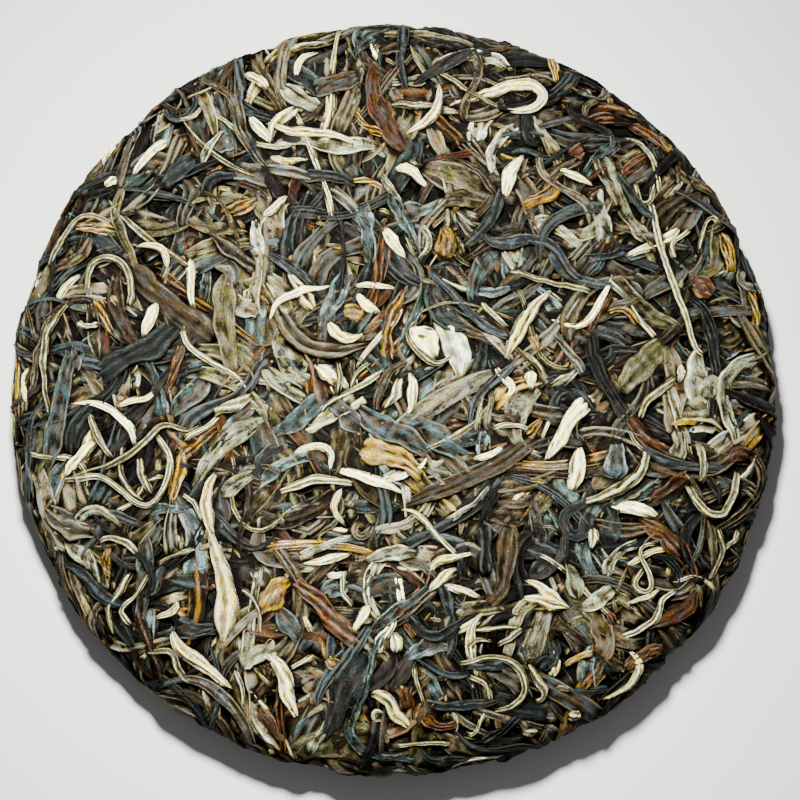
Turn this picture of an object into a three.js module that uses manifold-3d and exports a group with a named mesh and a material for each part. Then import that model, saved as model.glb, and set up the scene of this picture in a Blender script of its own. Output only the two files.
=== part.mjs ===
// A raw pu-erh tea cake: whole twisted tea leaves pressed into a round, domed disc with a dimple in its underside.
// The cake is one piece. Its body is turned from a profile, and the leaves that show are fused to it.
// It lies on its underside, domed face up, centred on the Z axis. Millimetres, +Z up.

import * as THREE from "three";
import { mergeVertices } from "three/addons/utils/BufferGeometryUtils.js";
import Module from "manifold-3d";

// Driving sizes of the body, without the leaves that stand proud of it
const BODY_RADIUS = 98;
const CROWN_HEIGHT = 23;
const WIDEST_HEIGHT = 9.5;
const FOOT_LIFT = 0.8;
const DOME_FULLNESS = 3.2;
const FOOT_FULLNESS = 9;
const DIMPLE_RADIUS = 27;
const DIMPLE_DEPTH = 9;
const UNEVENNESS = 0.4;

// How finely the body is faceted
const BODY_SIDES = 36;
const PROFILE_SAMPLES = 400;

// Where the body's rings lie on its profile, from crown (0) over the rim to the middle of the dimple (1)
const RING_SHARES = [
  0, 0.1, 0.2, 0.3, 0.37, 0.42, 0.45, 0.475, 0.495, 0.515, 0.54, 0.58, 0.68, 0.78, 0.86, 0.9, 0.94, 0.975, 1,
];

// How a leaf is faceted. Wide leaves are pressed flat along the crest, narrow ones come to a ridge.
const LEAF_STEP = 11;
const FEWEST_STEPS = 2;
const MOST_STEPS = 4;
const FLAT_CRESTED_FROM = 5.5;

// How a leaf stands in the body: its crest is narrower than its foot, and its foot is buried
const CREST_SHARE = 0.6;
const FOOT_SHARE = 1.25;
const FOOT_DEPTH = 1.6;
const CREST_BASE = 1;
const CREST_PER_WIDTH = 0.16;
const CREST_SPREAD = [0.7, 1.15];
const TIP_WIDTH = 0.3;
const TIP_ROUNDNESS = 0.7;

// Leaves spread by rule: how many, between which shares of the profile, and their sizes.
// Each band starts at its narrower end and grows denser towards its wider one.
const BANDS = [
  { name: "face", count: 24, from: 0.04, to: 0.4, width: [4, 6], length: [22, 36], along: 0 },
  { name: "shoulder", count: 16, from: 0.42, to: 0.49, width: [4, 5.4], length: [26, 40], along: 0.75 },
  { name: "foot", count: 12, from: 0.57, to: 0.51, width: [4, 5.4], length: [24, 38], along: 0.85 },
  { name: "underside", count: 34, from: 0.87, to: 0.6, width: [4, 7], length: [24, 38], along: 0 },
];
const MOST_BEND = 0.9;
const SEED = 357;

// The large leaves of the domed face, each with its width and the points that its middle line passes through
const FACE_LEAVES = [
  // Upper left
  [4.5, [-43, 88], [-41, 76], [-33, 61]],
  [8.5, [-69, 37], [-58, 26], [-46, 15]],
  [3.4, [-59, 70.5], [-63, 65.5], [-69, 59]],
  [4.5, [-61, 55.5], [-58, 61], [-53.5, 66]],
  [5, [-58, 50], [-52, 55], [-45, 59.5]],
  [3.5, [-84, 49.5], [-79, 54.5], [-70.5, 56]],
  [5, [-38.5, 49], [-37, 44], [-35.5, 38]],
  [4.5, [-39, 77.5], [-30, 72.5], [-15, 71.5]],
  [6.5, [-43.5, 36], [-44, 22], [-42.5, 6]],
  [6, [-57, 21.5], [-69, 14], [-79, 6]],
  // Upper middle
  [5.5, [-33.5, 68], [-18, 69], [-2, 67.5]],
  [7, [-23, 83.5], [-16, 84.5], [-9, 88]],
  [5, [-29, 84], [-24, 80.5], [-19, 77.5]],
  [4.5, [-6.5, 93], [-6, 80], [4.5, 63.5]],
  [4, [-1.5, 79.5], [14, 79], [36, 85]],
  [4, [9, 90.5], [20, 91.5], [33, 89]],
  [6, [3, 75.5], [14, 75.5], [27, 75.5]],
  [6, [7, 64.5], [17, 61.5], [25.5, 53]],
  [4.5, [36, 66], [30.5, 61], [29, 53.5]],
  [4.5, [-5, 52.5], [-1.5, 45], [3, 37.5]],
  [4.5, [-7.5, 54], [-7.5, 46], [-6.5, 36]],
  [7, [12, 50], [14, 45], [11, 37]],
  // Upper right
  [6.5, [52.5, 69], [57, 57], [64.5, 42]],
  [5, [35, 46], [43, 45], [53.5, 41.5]],
  [6, [30, 50], [37, 53], [44, 52.5]],
  [4, [57, 69.5], [58.5, 65], [62, 60.5]],
  [4.5, [58, 34.5], [64.5, 26], [74.5, 19]],
  [3.4, [67.5, 49], [74, 29], [82, 12.5]],
  [6, [76, 33], [80, 31], [85, 27]],
  // Left
  [5.5, [-84, 15], [-87, -2], [-92, -19]],
  [3.6, [-62.5, 27.5], [-64.5, 22], [-66.5, 15.5]],
  [5.5, [-59, -5], [-54, 1.5], [-49, 6.5]],
  [5.5, [-32, -3.5], [-43, -9.5], [-54, -23]],
  [4.5, [-55, -12], [-57, -19], [-59, -28]],
  [3.4, [-76.5, -8.5], [-81, -13.5], [-86.5, -18.5]],
  [4, [-64.5, 12], [-61.5, 3], [-59.5, -6]],
  // Middle
  [5, [-34, -9.5], [-26, -5], [-17, 1]],
  [6.5, [-17.5, 1.5], [-6, -5], [9, -15]],
  [6, [3, -5.5], [11, -10], [19.5, -15]],
  [5, [3.5, 34], [-2, 20], [0.5, 9]],
  [6, [4.5, 21], [7.5, 16], [11, 11.5]],
  [7.5, [-15, -10], [-4, -15], [7.5, -21]],
  [5.5, [35, -9.5], [18, -18], [-2, -30]],
  [8, [-30, 24], [-22, 18], [-8, 15]],
  [5, [-33, 8], [-28, 3], [-20, 1.5]],
  [4.5, [-12.5, 38], [-15, 30], [-21, 20.5]],
  [4.2, [40, 31], [32.5, 21], [27.5, 10.5]],
  // Right
  [4.2, [51.5, 18], [57, -3], [76.5, -15]],
  [4.8, [53, 1.5], [46.5, -3], [40, -16]],
  [6, [71.5, 16], [66.5, 9], [59, 3]],
  [7.5, [79.5, 14], [80.5, 6], [81, -2.5]],
  [5, [47.5, -10.5], [48.5, -16], [45.5, -24]],
  [5.5, [57, -9], [57, -15], [55, -21]],
  [5, [73, -6], [74, -13], [75, -21]],
  [4.5, [65.5, -25.5], [71, -23.5], [79, -18]],
  [3.4, [49, -27.5], [57, -25], [64.5, -19.5]],
  // Lower left
  [5, [-45.5, -37], [-44.5, -51], [-44.5, -65]],
  [5, [-59, -59.5], [-51, -69.5], [-42, -77.5]],
  [7.5, [-42, -71], [-37, -66.5], [-28, -63.5]],
  [4.5, [-67, -33], [-66, -43], [-68, -57]],
  [5.5, [-60, -58.5], [-54, -59.5], [-47, -59]],
  [4.6, [-35, -67], [-29, -71.5], [-25.5, -85.5]],
  // Lower middle
  [5, [-34, -58], [-25, -48], [-10, -63]],
  [5.5, [-8, -66], [-12.5, -78], [-16, -90]],
  [4, [2, -57], [-6, -69], [-11.5, -86]],
  [4, [5, -60], [14, -62], [27, -54]],
  [5, [28, -55], [29, -45], [28, -33]],
  [5, [-4, -71.5], [4, -67], [16, -65.5]],
  [5, [-10, -50.5], [-3, -47.5], [6, -47]],
  [5, [2, -71], [3, -77], [3, -83]],
  // Lower right
  [6, [58, -26], [58.5, -33], [57.5, -39]],
  [5, [58.5, -49], [54, -53], [48.5, -54.5]],
  [4.6, [33, -51], [40, -52], [46, -56]],
  [4, [66, -30], [73, -37], [79, -45]],
  [5, [60, -61], [68, -58], [77, -52.5]],
  [5, [34, -45], [39, -43], [44, -41]],
  [5, [60, -71], [67, -67.5], [74, -63]],
];

const FLOOR_DEPTH = 10;
const SMALLEST_DETAIL = 0.05;
const JOIN_WITHIN = 1e-3;
const LEAF_COLOUR = 0x4a4537;
const LEAF_ROUGHNESS = 0.85;

// The same numbers on every run, from 0 to 1
function seededRandom(seed) {
  const MODULUS = 2147483647;
  const FACTOR = 48271;
  let state = seed;
  return () => {
    state = (state * FACTOR) % MODULUS;
    return state / MODULUS;
  };
}

function between([low, high], share) {
  return low + (high - low) * share;
}

function topHeight(r) {
  const fall = Math.min(1, r / BODY_RADIUS) ** DOME_FULLNESS;
  return WIDEST_HEIGHT + (CROWN_HEIGHT - WIDEST_HEIGHT) * Math.sqrt(1 - fall);
}

function undersideHeight(r) {
  const fall = Math.min(1, r / BODY_RADIUS) ** FOOT_FULLNESS;
  const foot = WIDEST_HEIGHT - (WIDEST_HEIGHT - FOOT_LIFT) * Math.sqrt(1 - fall);
  const into = Math.max(0, 1 - (r / DIMPLE_RADIUS) ** 2);
  return foot + DIMPLE_DEPTH * into * into * (3 - 2 * into);
}

// The profile, from the crown out to the rim and back to the middle of the dimple
function profilePath() {
  const path = new THREE.Path();
  path.moveTo(0, topHeight(0));
  for (let i = 1; i <= PROFILE_SAMPLES; i++) {
    const r = BODY_RADIUS * Math.sin((i / PROFILE_SAMPLES) * (Math.PI / 2));
    path.lineTo(r, topHeight(r));
  }
  for (let i = PROFILE_SAMPLES - 1; i >= 0; i--) {
    const r = BODY_RADIUS * Math.sin((i / PROFILE_SAMPLES) * (Math.PI / 2));
    path.lineTo(r, undersideHeight(r));
  }
  return path;
}

const PROFILE = profilePath().getSpacedPoints(PROFILE_SAMPLES);

function profileAt(share) {
  return PROFILE[Math.round(share * PROFILE_SAMPLES)];
}

// The point of the body's surface nearest to a point, with the way out of the body there
function onSurface(point) {
  const r = Math.max(1e-6, Math.hypot(point.x, point.y));
  let nearest = 0;
  let least = Infinity;
  for (let i = 0; i < PROFILE.length; i++) {
    const gap = (PROFILE[i].x - r) ** 2 + (PROFILE[i].y - point.z) ** 2;
    if (gap < least) [least, nearest] = [gap, i];
  }
  const before = PROFILE[Math.max(0, nearest - 1)];
  const after = PROFILE[Math.min(PROFILE.length - 1, nearest + 1)];
  const run = after.clone().sub(before).normalize();
  const [ex, ey] = [point.x / r, point.y / r];
  const at = PROFILE[nearest];
  return {
    at: new THREE.Vector3(ex * at.x, ey * at.x, at.y),
    out: new THREE.Vector3(-run.y * ex, -run.y * ey, run.x),
  };
}

// Gentle hollows and swellings of the pressed body
function swelling(x, y) {
  return (Math.sin(x * 0.19 + 1.3) * Math.cos(y * 0.23 - 0.4) + Math.sin((x + y) * 0.13)) / 2;
}

function asSolid(wasm, geometry) {
  const bare = geometry.clone();
  bare.deleteAttribute("normal");
  bare.deleteAttribute("uv");
  const merged = mergeVertices(bare, JOIN_WITHIN);
  return new wasm.Manifold(
    new wasm.Mesh({
      numProp: 3,
      vertProperties: new Float32Array(merged.attributes.position.array),
      triVerts: new Uint32Array(merged.index.array),
    }),
  );
}

function bodyGeometry() {
  const upward = RING_SHARES.map((share) => profileAt(share).clone()).reverse();
  upward[0].x = 0;
  upward[upward.length - 1].x = 0;
  const geometry = new THREE.LatheGeometry(upward, BODY_SIDES).rotateX(Math.PI / 2);
  const position = geometry.attributes.position;
  for (let i = 0; i < position.count; i++) {
    const point = new THREE.Vector3().fromBufferAttribute(position, i);
    const { out } = onSurface(point);
    point.addScaledVector(out, UNEVENNESS * swelling(point.x, point.y));
    position.setXYZ(i, point.x, point.y, point.z);
  }
  return geometry;
}

// A leaf is a cylinder blank, drawn out along its route and narrowed towards both tips
function leafGeometry(route, width, proud) {
  const steps = route.length - 1;
  const flatCrested = width >= FLAT_CRESTED_FROM;
  const sides = flatCrested ? 4 : 3;
  const turn = flatCrested ? Math.PI / 4 : 0;
  const blank = new THREE.CylinderGeometry(1, 1, 1, sides, steps, false, turn);
  const position = blank.attributes.position;
  for (let i = 0; i < position.count; i++) {
    const along = 0.5 - position.getY(i);
    const here = Math.round(along * steps);
    const { at, out } = route[here];
    const ahead = route[Math.min(steps, here + 1)].at.clone().sub(route[Math.max(0, here - 1)].at);
    const side = out.clone().cross(ahead).normalize();
    const fullness = TIP_WIDTH + (1 - TIP_WIDTH) * Math.sin(Math.PI * along) ** TIP_ROUNDNESS;
    const onCrest = position.getZ(i) > 0;
    const hand = Math.sign(Math.round(position.getX(i) * sides));
    const reach = (hand * width * fullness * (onCrest ? CREST_SHARE : FOOT_SHARE)) / 2;
    const rise = onCrest ? proud * fullness : -FOOT_DEPTH;
    const point = at.clone().addScaledVector(side, reach).addScaledVector(out, rise);
    position.setXYZ(i, point.x, point.y, point.z);
  }
  return blank;
}

function stepsFor(length) {
  return Math.min(MOST_STEPS, Math.max(FEWEST_STEPS, Math.round(length / LEAF_STEP)));
}

// The route of a leaf of the domed face, through points seen from above
function faceRoute(points) {
  const line = new THREE.SplineCurve(points.map(([x, y]) => new THREE.Vector2(x, y)));
  return line
    .getSpacedPoints(stepsFor(line.getLength()))
    .map(({ x, y }) => onSurface(new THREE.Vector3(x, y, topHeight(Math.hypot(x, y)))));
}

// The route of a leaf that starts at a share of the profile and an angle round the cake,
// and bends steadily as it goes. Heading 0 runs outwards along the profile.
function strayRoute(share, angle, heading, length, bend) {
  const sample = profileAt(share);
  let spot = onSurface(new THREE.Vector3(sample.x * Math.cos(angle), sample.x * Math.sin(angle), sample.y));
  const around = new THREE.Vector3(-Math.sin(angle), Math.cos(angle), 0);
  const way = around.clone().cross(spot.out).applyAxisAngle(spot.out, heading);
  const steps = stepsFor(length);
  const route = [spot];
  for (let i = 0; i < steps; i++) {
    spot = onSurface(spot.at.clone().addScaledVector(way, length / steps));
    way.addScaledVector(spot.out, -way.dot(spot.out)).normalize();
    way.applyAxisAngle(spot.out, bend / steps);
    route.push(spot);
  }
  return route;
}

function crestFor(width, share) {
  return (CREST_BASE + CREST_PER_WIDTH * width) * between(CREST_SPREAD, share);
}

function faceLeaves(random) {
  return FACE_LEAVES.map(([width, ...points]) => leafGeometry(faceRoute(points), width, crestFor(width, random())));
}

// Leaves spread over a band by the golden angle, so that none of it is left bare
function bandLeaves(band, random) {
  const goldenAngle = Math.PI * (3 - Math.sqrt(5));
  return Array.from({ length: band.count }, (_, i) => {
    const share = between([band.from, band.to], Math.sqrt((i + 0.5) / band.count));
    const spread = band.along > 0 ? (1 - band.along) * Math.PI : 2 * Math.PI;
    const heading = Math.PI / 2 + (random() - 0.5) * spread;
    const width = between(band.width, random());
    const bend = (random() - 0.5) * 2 * MOST_BEND;
    const route = strayRoute(share, i * goldenAngle, heading, between(band.length, random()), bend);
    return leafGeometry(route, width, crestFor(width, random()));
  });
}

// What the pressing leaves flat: everything is cut off at the plane that the cake rests on
function restingPlane() {
  const size = 3 * BODY_RADIUS;
  return new THREE.BoxGeometry(size, size, FLOOR_DEPTH).translate(0, 0, -FLOOR_DEPTH / 2);
}

// The cake alone: loose scraps are dropped, and hollows that nothing reaches are filled
function largestOf(solid) {
  return solid.decompose().reduce((a, b) => (b.volume() > a.volume() ? b : a));
}

function asGeometry(solid) {
  const { vertProperties, triVerts, numProp } = solid.getMesh();
  const count = vertProperties.length / numProp;
  const position = new Float32Array(count * 3);
  for (let i = 0; i < count; i++) {
    for (let axis = 0; axis < 3; axis++) position[i * 3 + axis] = vertProperties[i * numProp + axis];
  }
  const geometry = new THREE.BufferGeometry();
  geometry.setAttribute("position", new THREE.BufferAttribute(position, 3));
  geometry.setIndex(new THREE.BufferAttribute(new Uint32Array(triVerts), 1));
  return geometry;
}

function cakeGeometry(wasm) {
  const random = seededRandom(SEED);
  const leaves = [...faceLeaves(random), ...BANDS.flatMap((band) => bandLeaves(band, random))];
  const pieces = [bodyGeometry(), ...leaves].map((geometry) => asSolid(wasm, geometry));
  const fused = wasm.Manifold.union(pieces).subtract(asSolid(wasm, restingPlane()));
  const rough = asGeometry(largestOf(fused.simplify(SMALLEST_DETAIL)));
  const geometry = asGeometry(largestOf(asSolid(wasm, rough)));
  geometry.computeBoundingBox();
  const middle = geometry.boundingBox.getCenter(new THREE.Vector3());
  geometry.translate(-middle.x, -middle.y, 0);
  geometry.computeVertexNormals();
  return geometry;
}

const wasm = await Module();
wasm.setup();

const cake = new THREE.Mesh(
  cakeGeometry(wasm),
  new THREE.MeshStandardMaterial({ color: LEAF_COLOUR, roughness: LEAF_ROUGHNESS, metalness: 0 }),
);
cake.name = "tea_cake";

const group = new THREE.Group();
group.add(cake);

export default group;
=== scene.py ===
"""A raw pu-erh tea cake: whole twisted leaves, buds and stems pressed into a round, domed disc.

The cake lies on its underside, domed face up. A core, near-black as painted shade in the gaps between the
leaves, carries leaves that are laid on it one by one. Each leaf drapes over those already there, and pressing
keeps them all below one ceiling.
"""

import math
import random

import bpy
import numpy as np
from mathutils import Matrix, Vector


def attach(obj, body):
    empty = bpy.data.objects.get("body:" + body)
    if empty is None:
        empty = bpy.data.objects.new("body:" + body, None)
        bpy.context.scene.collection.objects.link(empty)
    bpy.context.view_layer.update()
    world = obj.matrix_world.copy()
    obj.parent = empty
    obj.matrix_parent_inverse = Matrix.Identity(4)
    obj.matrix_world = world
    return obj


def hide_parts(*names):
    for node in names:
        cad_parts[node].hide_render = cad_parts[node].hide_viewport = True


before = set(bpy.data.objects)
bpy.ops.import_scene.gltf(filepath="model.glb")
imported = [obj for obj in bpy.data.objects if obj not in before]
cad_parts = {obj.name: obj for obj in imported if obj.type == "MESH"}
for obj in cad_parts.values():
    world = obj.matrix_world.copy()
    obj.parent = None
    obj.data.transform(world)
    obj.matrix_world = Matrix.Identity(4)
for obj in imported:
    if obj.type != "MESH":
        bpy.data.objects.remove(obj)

bl_info = {
    "name": "Pressed Tea Cake",
    "version": (1, 0, 0),
    "blender": (4, 5, 0),
    "location": "View3D > Sidebar > Tea Cake",
    "description": "Builds a round cake of pressed tea leaves and a plain studio to show it in",
    "category": "Object",
}

NODE = "tea_cake"
BODY = "root"

MM = 0.001
GOLDEN_ANGLE = math.pi * (3 - math.sqrt(5))

# Columns across the top of a leaf's section. Two more run back along its underside.
FINE_TOP, PLAIN_TOP, COARSE_TOP = 11, 7, 5
UNDER_COLUMNS = (0.5, -0.5)

# Kinds of leaf: colours from deep in the folds to the crests, which besides the leaf's own streaks carry
# painted shade in the folds and painted highlight on the crests, then of stains and of the pale edges, which
# are partly dry edges and partly painted highlight.
# Shares say how often the rule picks the kind in the bed (below), in the cover (on top), and in the cover
# round the middle of the face, where paler leaves lie.
KINDS = {
    "black_leaves": {
        "style": "twisted",
        "colours": ("#070302", "#0e1010", "#2b3130", "#1b1711", "#474740"),
        "shares": (0.22, 0.17, 0.06),
        "rough": 0.36,
    },
    "slate_leaves": {
        "style": "blade",
        "colours": ("#090603", "#222b2b", "#566563", "#33291c", "#6e7162"),
        "shares": (0.2, 0.18, 0.22),
        "rough": 0.38,
    },
    "umber_leaves": {
        "style": "twisted",
        "colours": ("#0c0602", "#251e13", "#544d3c", "#272a26", "#66614d"),
        "shares": (0.22, 0.22, 0.16),
        "rough": 0.4,
    },
    "olive_leaves": {
        "style": "blade",
        "colours": ("#0f0b04", "#34311d", "#6a684e", "#463a24", "#827f67"),
        "shares": (0.14, 0.165, 0.18),
        "rough": 0.44,
    },
    "sage_leaves": {
        "style": "blade",
        "colours": ("#1b160c", "#5d604b", "#acae96", "#5b523c", "#c1bfa4"),
        "shares": (0.08, 0.085, 0.18),
        "rough": 0.48,
    },
    "russet_leaves": {
        "style": "twisted",
        "colours": ("#0d0703", "#2b190c", "#573f29", "#291f13", "#68563f"),
        "shares": (0.05, 0.035, 0.04),
        "rough": 0.4,
    },
    "amber_leaves": {
        "style": "twisted",
        "colours": ("#170f04", "#594417", "#998040", "#38301a", "#ad9354"),
        "shares": (0.04, 0.025, 0.04),
        "rough": 0.42,
    },
    "silver_buds": {
        "style": "bud",
        "colours": ("#5c522a", "#bdb572", "#f4f2ba", "#7d7040", "#f9f8ca"),
        "shares": (0.03, 0.036, 0.05),
        "rough": 0.65,
    },
    "straw_stems": {
        "style": "stem",
        "colours": ("#221e10", "#555338", "#a7a57d", "#453f26", "#c6c397"),
        "shares": (0.02, 0.05, 0.06),
        "rough": 0.5,
    },
}
BROKEN_BITS = {
    "style": "twisted",
    "colours": ("#060504", "#2c2315", "#655a38", "#33240f", "#857a54"),
    "rough": 0.55,
}

# Styles of leaf. "widths" and "lengths" are the sizes in mm of those laid by rule. Each end narrows over a
# share of the length from "tapers" to a share of the width from "tips", and "waver" is how much the width
# varies. "arch", "ridge", "crumple" and "roll" are heights as shares of the thickness: of the whole section,
# of its lengthwise ridges, of small dents, and of curled edges. "ridges" is how many ridges lie across the
# width, and "turns" how many half turns they make along the leaf. "fold_range" is the relief, as a share of
# the thickness, from the bottom of a fold to a crest. "lean" is the usual tilt in degrees. "softness" says
# how closely a leaf follows what it lies on, and "order" which styles lie on top.
# The fold value that "fold_range" scales paints shade at the bottom of a fold and highlight on a crest.
STYLES = {
    "blade": {
        "widths": (2.8, 6.4),
        "lengths": (14, 34),
        "tapers": (0.1, 0.5),
        "tips": (0.1, 0.7),
        "waver": (0.15, 0.4),
        "arch": (-0.06, 0.12),
        "ridge": (0.03, 0.07),
        "ridges": (1.6, 3),
        "turns": (-2.5, 2.5),
        "roll": 0.12,
        "crumple": 0.1,
        "fold_range": 0.24,
        "lean": 5,
        "softness": 0.9,
        "order": 0,
    },
    "twisted": {
        "widths": (2.2, 5.4),
        "lengths": (16, 42),
        "tapers": (0.1, 0.45),
        "tips": (0.12, 0.8),
        "waver": (0.15, 0.4),
        "arch": (0.04, 0.16),
        "ridge": (0.06, 0.14),
        "ridges": (1.6, 3),
        "turns": (-4.5, 4.5),
        "roll": 0.1,
        "crumple": 0.06,
        "fold_range": 0.24,
        "lean": 7,
        "softness": 0.7,
        "order": 1,
    },
    "bud": {
        "widths": (1.8, 3.4),
        "lengths": (12, 24),
        "tapers": (0.35, 0.5),
        "tips": (0.06, 0.3),
        "waver": (0.08, 0.25),
        "arch": 0.2,
        "ridge": (0.09, 0.15),
        "ridges": (1.5, 2.5),
        "turns": (-2, 2),
        "crumple": 0.03,
        "fold_range": 0.55,
        "lean": 6,
        "softness": 0.4,
        "order": 3,
    },
    "stem": {
        "widths": (0.9, 1.9),
        "lengths": (12, 38),
        "waver": (0.1, 0.3),
        "arch": 0.3,
        "ridge": 0.12,
        "ridges": (1.3, 2.2),
        "turns": (-3, 3),
        "crumple": 0.04,
        "fold_range": 0.24,
        "lean": 4,
        "softness": 0.35,
        "order": 4,
    },
}

# The width follows the length raised to a power between these
SKEWS = (0.7, 1.45)

# Share of a stem's width at its ends, and how much it swells along this part of a half wave
STEM_ENDS, STEM_SWELL = 0.62, 0.38
STEM_START, STEM_SPAN = 0.02, 0.96

# Waves along a leaf: paces per length, the factors that vary each, and the sum of heights that counts as 1
WAVE_PACES = (1, 2.3, 4.1)
PACE_SHARES = (0.7, 1.3)
WAVE_HEIGHT = 1.6

# How much each edge wavers by itself, how far ridges sway in radians, and how deep hollows are as a share of
# the ridges' height
EDGE_WAVER = (0.06, 0.25)
RIDGE_SWAY = 0.8
HOLLOW_SHARE = 0.8

# Powers by which ridges, and then dents and rolls, fade towards the edges, and how far up a fold the
# underside counts, which paints the underside with the shade of a fold's bottom
RIDGE_FADE, EDGE_FADE = 0.5, 0.3
UNDER_FOLD = 0.1

# Where in the half width an edge rolls up, and over what reach. Small dents: how many waves, and their
# lengths in mm. The crease of a blade: places in the half width, sway, depths, and reach.
ROLL_PLACE, ROLL_REACH = 0.82, 0.17
DENT_WAVES = 4
DENT_LENGTHS = (2.2, 6)
CREASE_PLACES = (-0.2, 0.2)
CREASE_SWAY = 0.15
CREASE_DEPTHS = (0.02, 0.09)
CREASE_REACH = 0.2

# Thickness in mm: the most that counts, then the least over and under the middle of the section, each with
# the share of the thickness that comes on top, and the height of the ends, which are pinched
MOST_THICK = 4
LEAST_OVER, OVER_SHARE = 0.2, 0.03
LEAST_UNDER, UNDER_SHARE = 0.3, 0.06
END_HEIGHT = -0.1

# Spread of the turn of a leaf's tilt from end to end, as a share of its lean
TWIST_SHARE = 1.8

# How far from the axis the paler leaves of the middle thin out, in mm
MIDDLE_REACH = 32

# Share of the pile's ceiling to which each layer is pressed, and how far a leaf clears what it covers, in mm
BED_PRESS, COVER_PRESS, FACE_PRESS = 0.5, 0.8, 1
CLEARANCE = 0.07

# How a leaf drapes, in mm: how far its sides go below and above its middle, how deep its ends tuck in, and
# the least room and the lowest place that pressing leaves it. Then the share of its thickness that takes up
# room.
DRAPE_LIMITS = (-1.6, 0.6)
TUCK_DEPTHS = (0.2, 2)
LEAST_ROOM = 0.3
LOWEST_DRAPE = -0.2
BODY_SHARE = 0.6

# Share of the length over which an end tucks in, with its power, and at which a leaf starts to clear what it
# covers, and over what share it comes to clear it fully
TUCK_REACH, TUCK_POWER = 0.24, 1.3
LOOSE_END, LOOSE_BLEND = 0.07, 0.13

# Least height over the floor in mm, and how much more a leaf may have
FLOOR_GAP, FLOOR_SPREAD = 0.03, 0.05

# Heights in mm over which a place on a leaf goes from sunk to proud, and from open to buried
# Sunk places are painted darker and proud ones lighter, and buried places darker: painted shade in hollows
# and under covering leaves, and painted light on what stands out.
PROUD_RANGE = 3
DEEP_RANGE = 0.8

# Widths in mm between which a leaf goes from streaked to plain
CALM_WIDTHS = (2.5, 5)

# Rings along a leaf, by where it is laid
BED_RINGS, GAP_RINGS, COVER_RINGS, STRAY_RINGS, BIT_RINGS = 9, 10, 16, 18, 4

# Leaves laid by rule, in radians: how far round the cake each may lie from its place, how far its heading
# strays from the drift, and how much it bends. It turns by this share to run round the rim within this reach
# of it, in mm.
ANGLE_SCATTER = 0.1
RULE_SCATTER = 0.5
RULE_BEND = 1.3
RIM_TURN = 0.86
RIM_REACH = 13

# In the order of laying, each mm of width brings a leaf forward by this much, and chance holds it back by up
# to this much
WIDTH_LEAD = 0.4
ORDER_SCATTER = 4

# The steady part of a bend as a share of its sway, and the number of sways along a leaf
STEADY_SHARE = 0.65
SWAY_PACES = (0.6, 1.4)

# Less leaf than this, in mm, leaves a place bare
BARE_HEIGHT = 0.25

# How much narrower than they are, in mm, placed leaves of a kind count in the order of laying
PALE_OVER = {"sage_leaves": 2.5}

# Placed leaves at least this wide, in mm, stay clear of strays by this reach. So many strays are tried for
# each one that is laid.
WIDE_LEAF = 5
SPARED_REACH = 3
STRAY_TRIES = 3

# Strays and broken bits: kinds, sizes in mm, and in radians how far the heading strays and a leaf bends
STRAY_KINDS = ("black_leaves", "black_leaves", "umber_leaves")
STRAY_LENGTHS, STRAY_WIDTHS = (10, 40), (1.3, 3.4)
STRAY_SCATTER, STRAY_BEND = 0.8, 2
BIT_LENGTHS, BIT_WIDTHS = (2, 7), (0.5, 1.6)
BIT_BEND = 0.5
BIT_TUCK = 0.3

# Placed leaves: spacing of their rings in mm, the fewest and most rings, and steps between two points while a
# line is smoothed. Then the sideways sway of a middle line in mm, with its paces in radians per mm, and how
# much the ends tuck in and the tints vary.
LINE_SPACING = 1.3
LINE_RINGS = (7, 46)
CURVE_STEPS = 12
WOBBLE = 0.12
WOBBLE_PACES = (0.5, 1.1)
PLACED_TUCK, PLACED_VARY = 0.6, 0.5

# The core's mesh: sides, rings, how far it lies below the profile in mm, and two ripples with their heights
# in mm and their waves round the core. The ripples are whole from this radius outwards, in mm.
CORE_SIDES, CORE_RINGS = 150, 110
CORE_SINK = 0.45
CORE_RIPPLES = (0.25, 0.2)
CORE_WAVES = (23, 41)
RIPPLE_PACES, RIPPLE_PHASE = (1.1, 0.7), 0.4
RIPPLE_RADIUS = 40

# Colours and numbers that each skin is given
SKIN_COLOURS = ("Deep", "Body", "Crest", "Stain", "Edge")
SKIN_NUMBERS = {"Crest Share": 0.9, "Stain Share": 0.75, "Edge Share": 0.28, "Roughness": 0.55}

# Relief of the skins in m, its strength, and how much the leaves and the down of buds shine
SKIN_RELIEF, CORE_RELIEF = 0.0006, 0.0008
RELIEF_STRENGTH = 0.9
LEAF_SHINE, CORE_SHINE = 0.02, 0
DOWN_SHEEN, DOWN_ROUGHNESS = 0.35, 0.4

# Hues that the skin drifts between, and powers that warm the darkened parts: the painted shade and the darker
# fibres
COOL_HUE, WARM_HUE = (0.83, 1.03, 1.16, 1), (1.13, 0.985, 0.9, 1)
RED_POWER, BLUE_POWER = 0.89, 1.3

# Floor, surroundings and lights, with places and sizes in m
FLOOR_HALF = 3.0
FLOOR_COLOUR = (0.32, 0.32, 0.312, 1)
FLOOR_ROUGHNESS = 0.9
SKY_COLOUR = (0.98, 0.99, 1, 1)
KEY_SHIFT = (-0.014, -0.024, 0)
KEY_LIGHT = {
    "place": (-0.05, 0.21, 0.43),
    "size": 0.09,
    "tint": (0.965, 0.98, 0.94),
    "spread": math.radians(62),
}
FILL_LIGHT = {"place": (0.5, -0.8, 0.6), "size": 0.8, "tint": (0.97, 0.98, 1), "spread": math.pi}
SENSOR_WIDTH = 36
NEAREST_SEEN = 0.01

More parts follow.
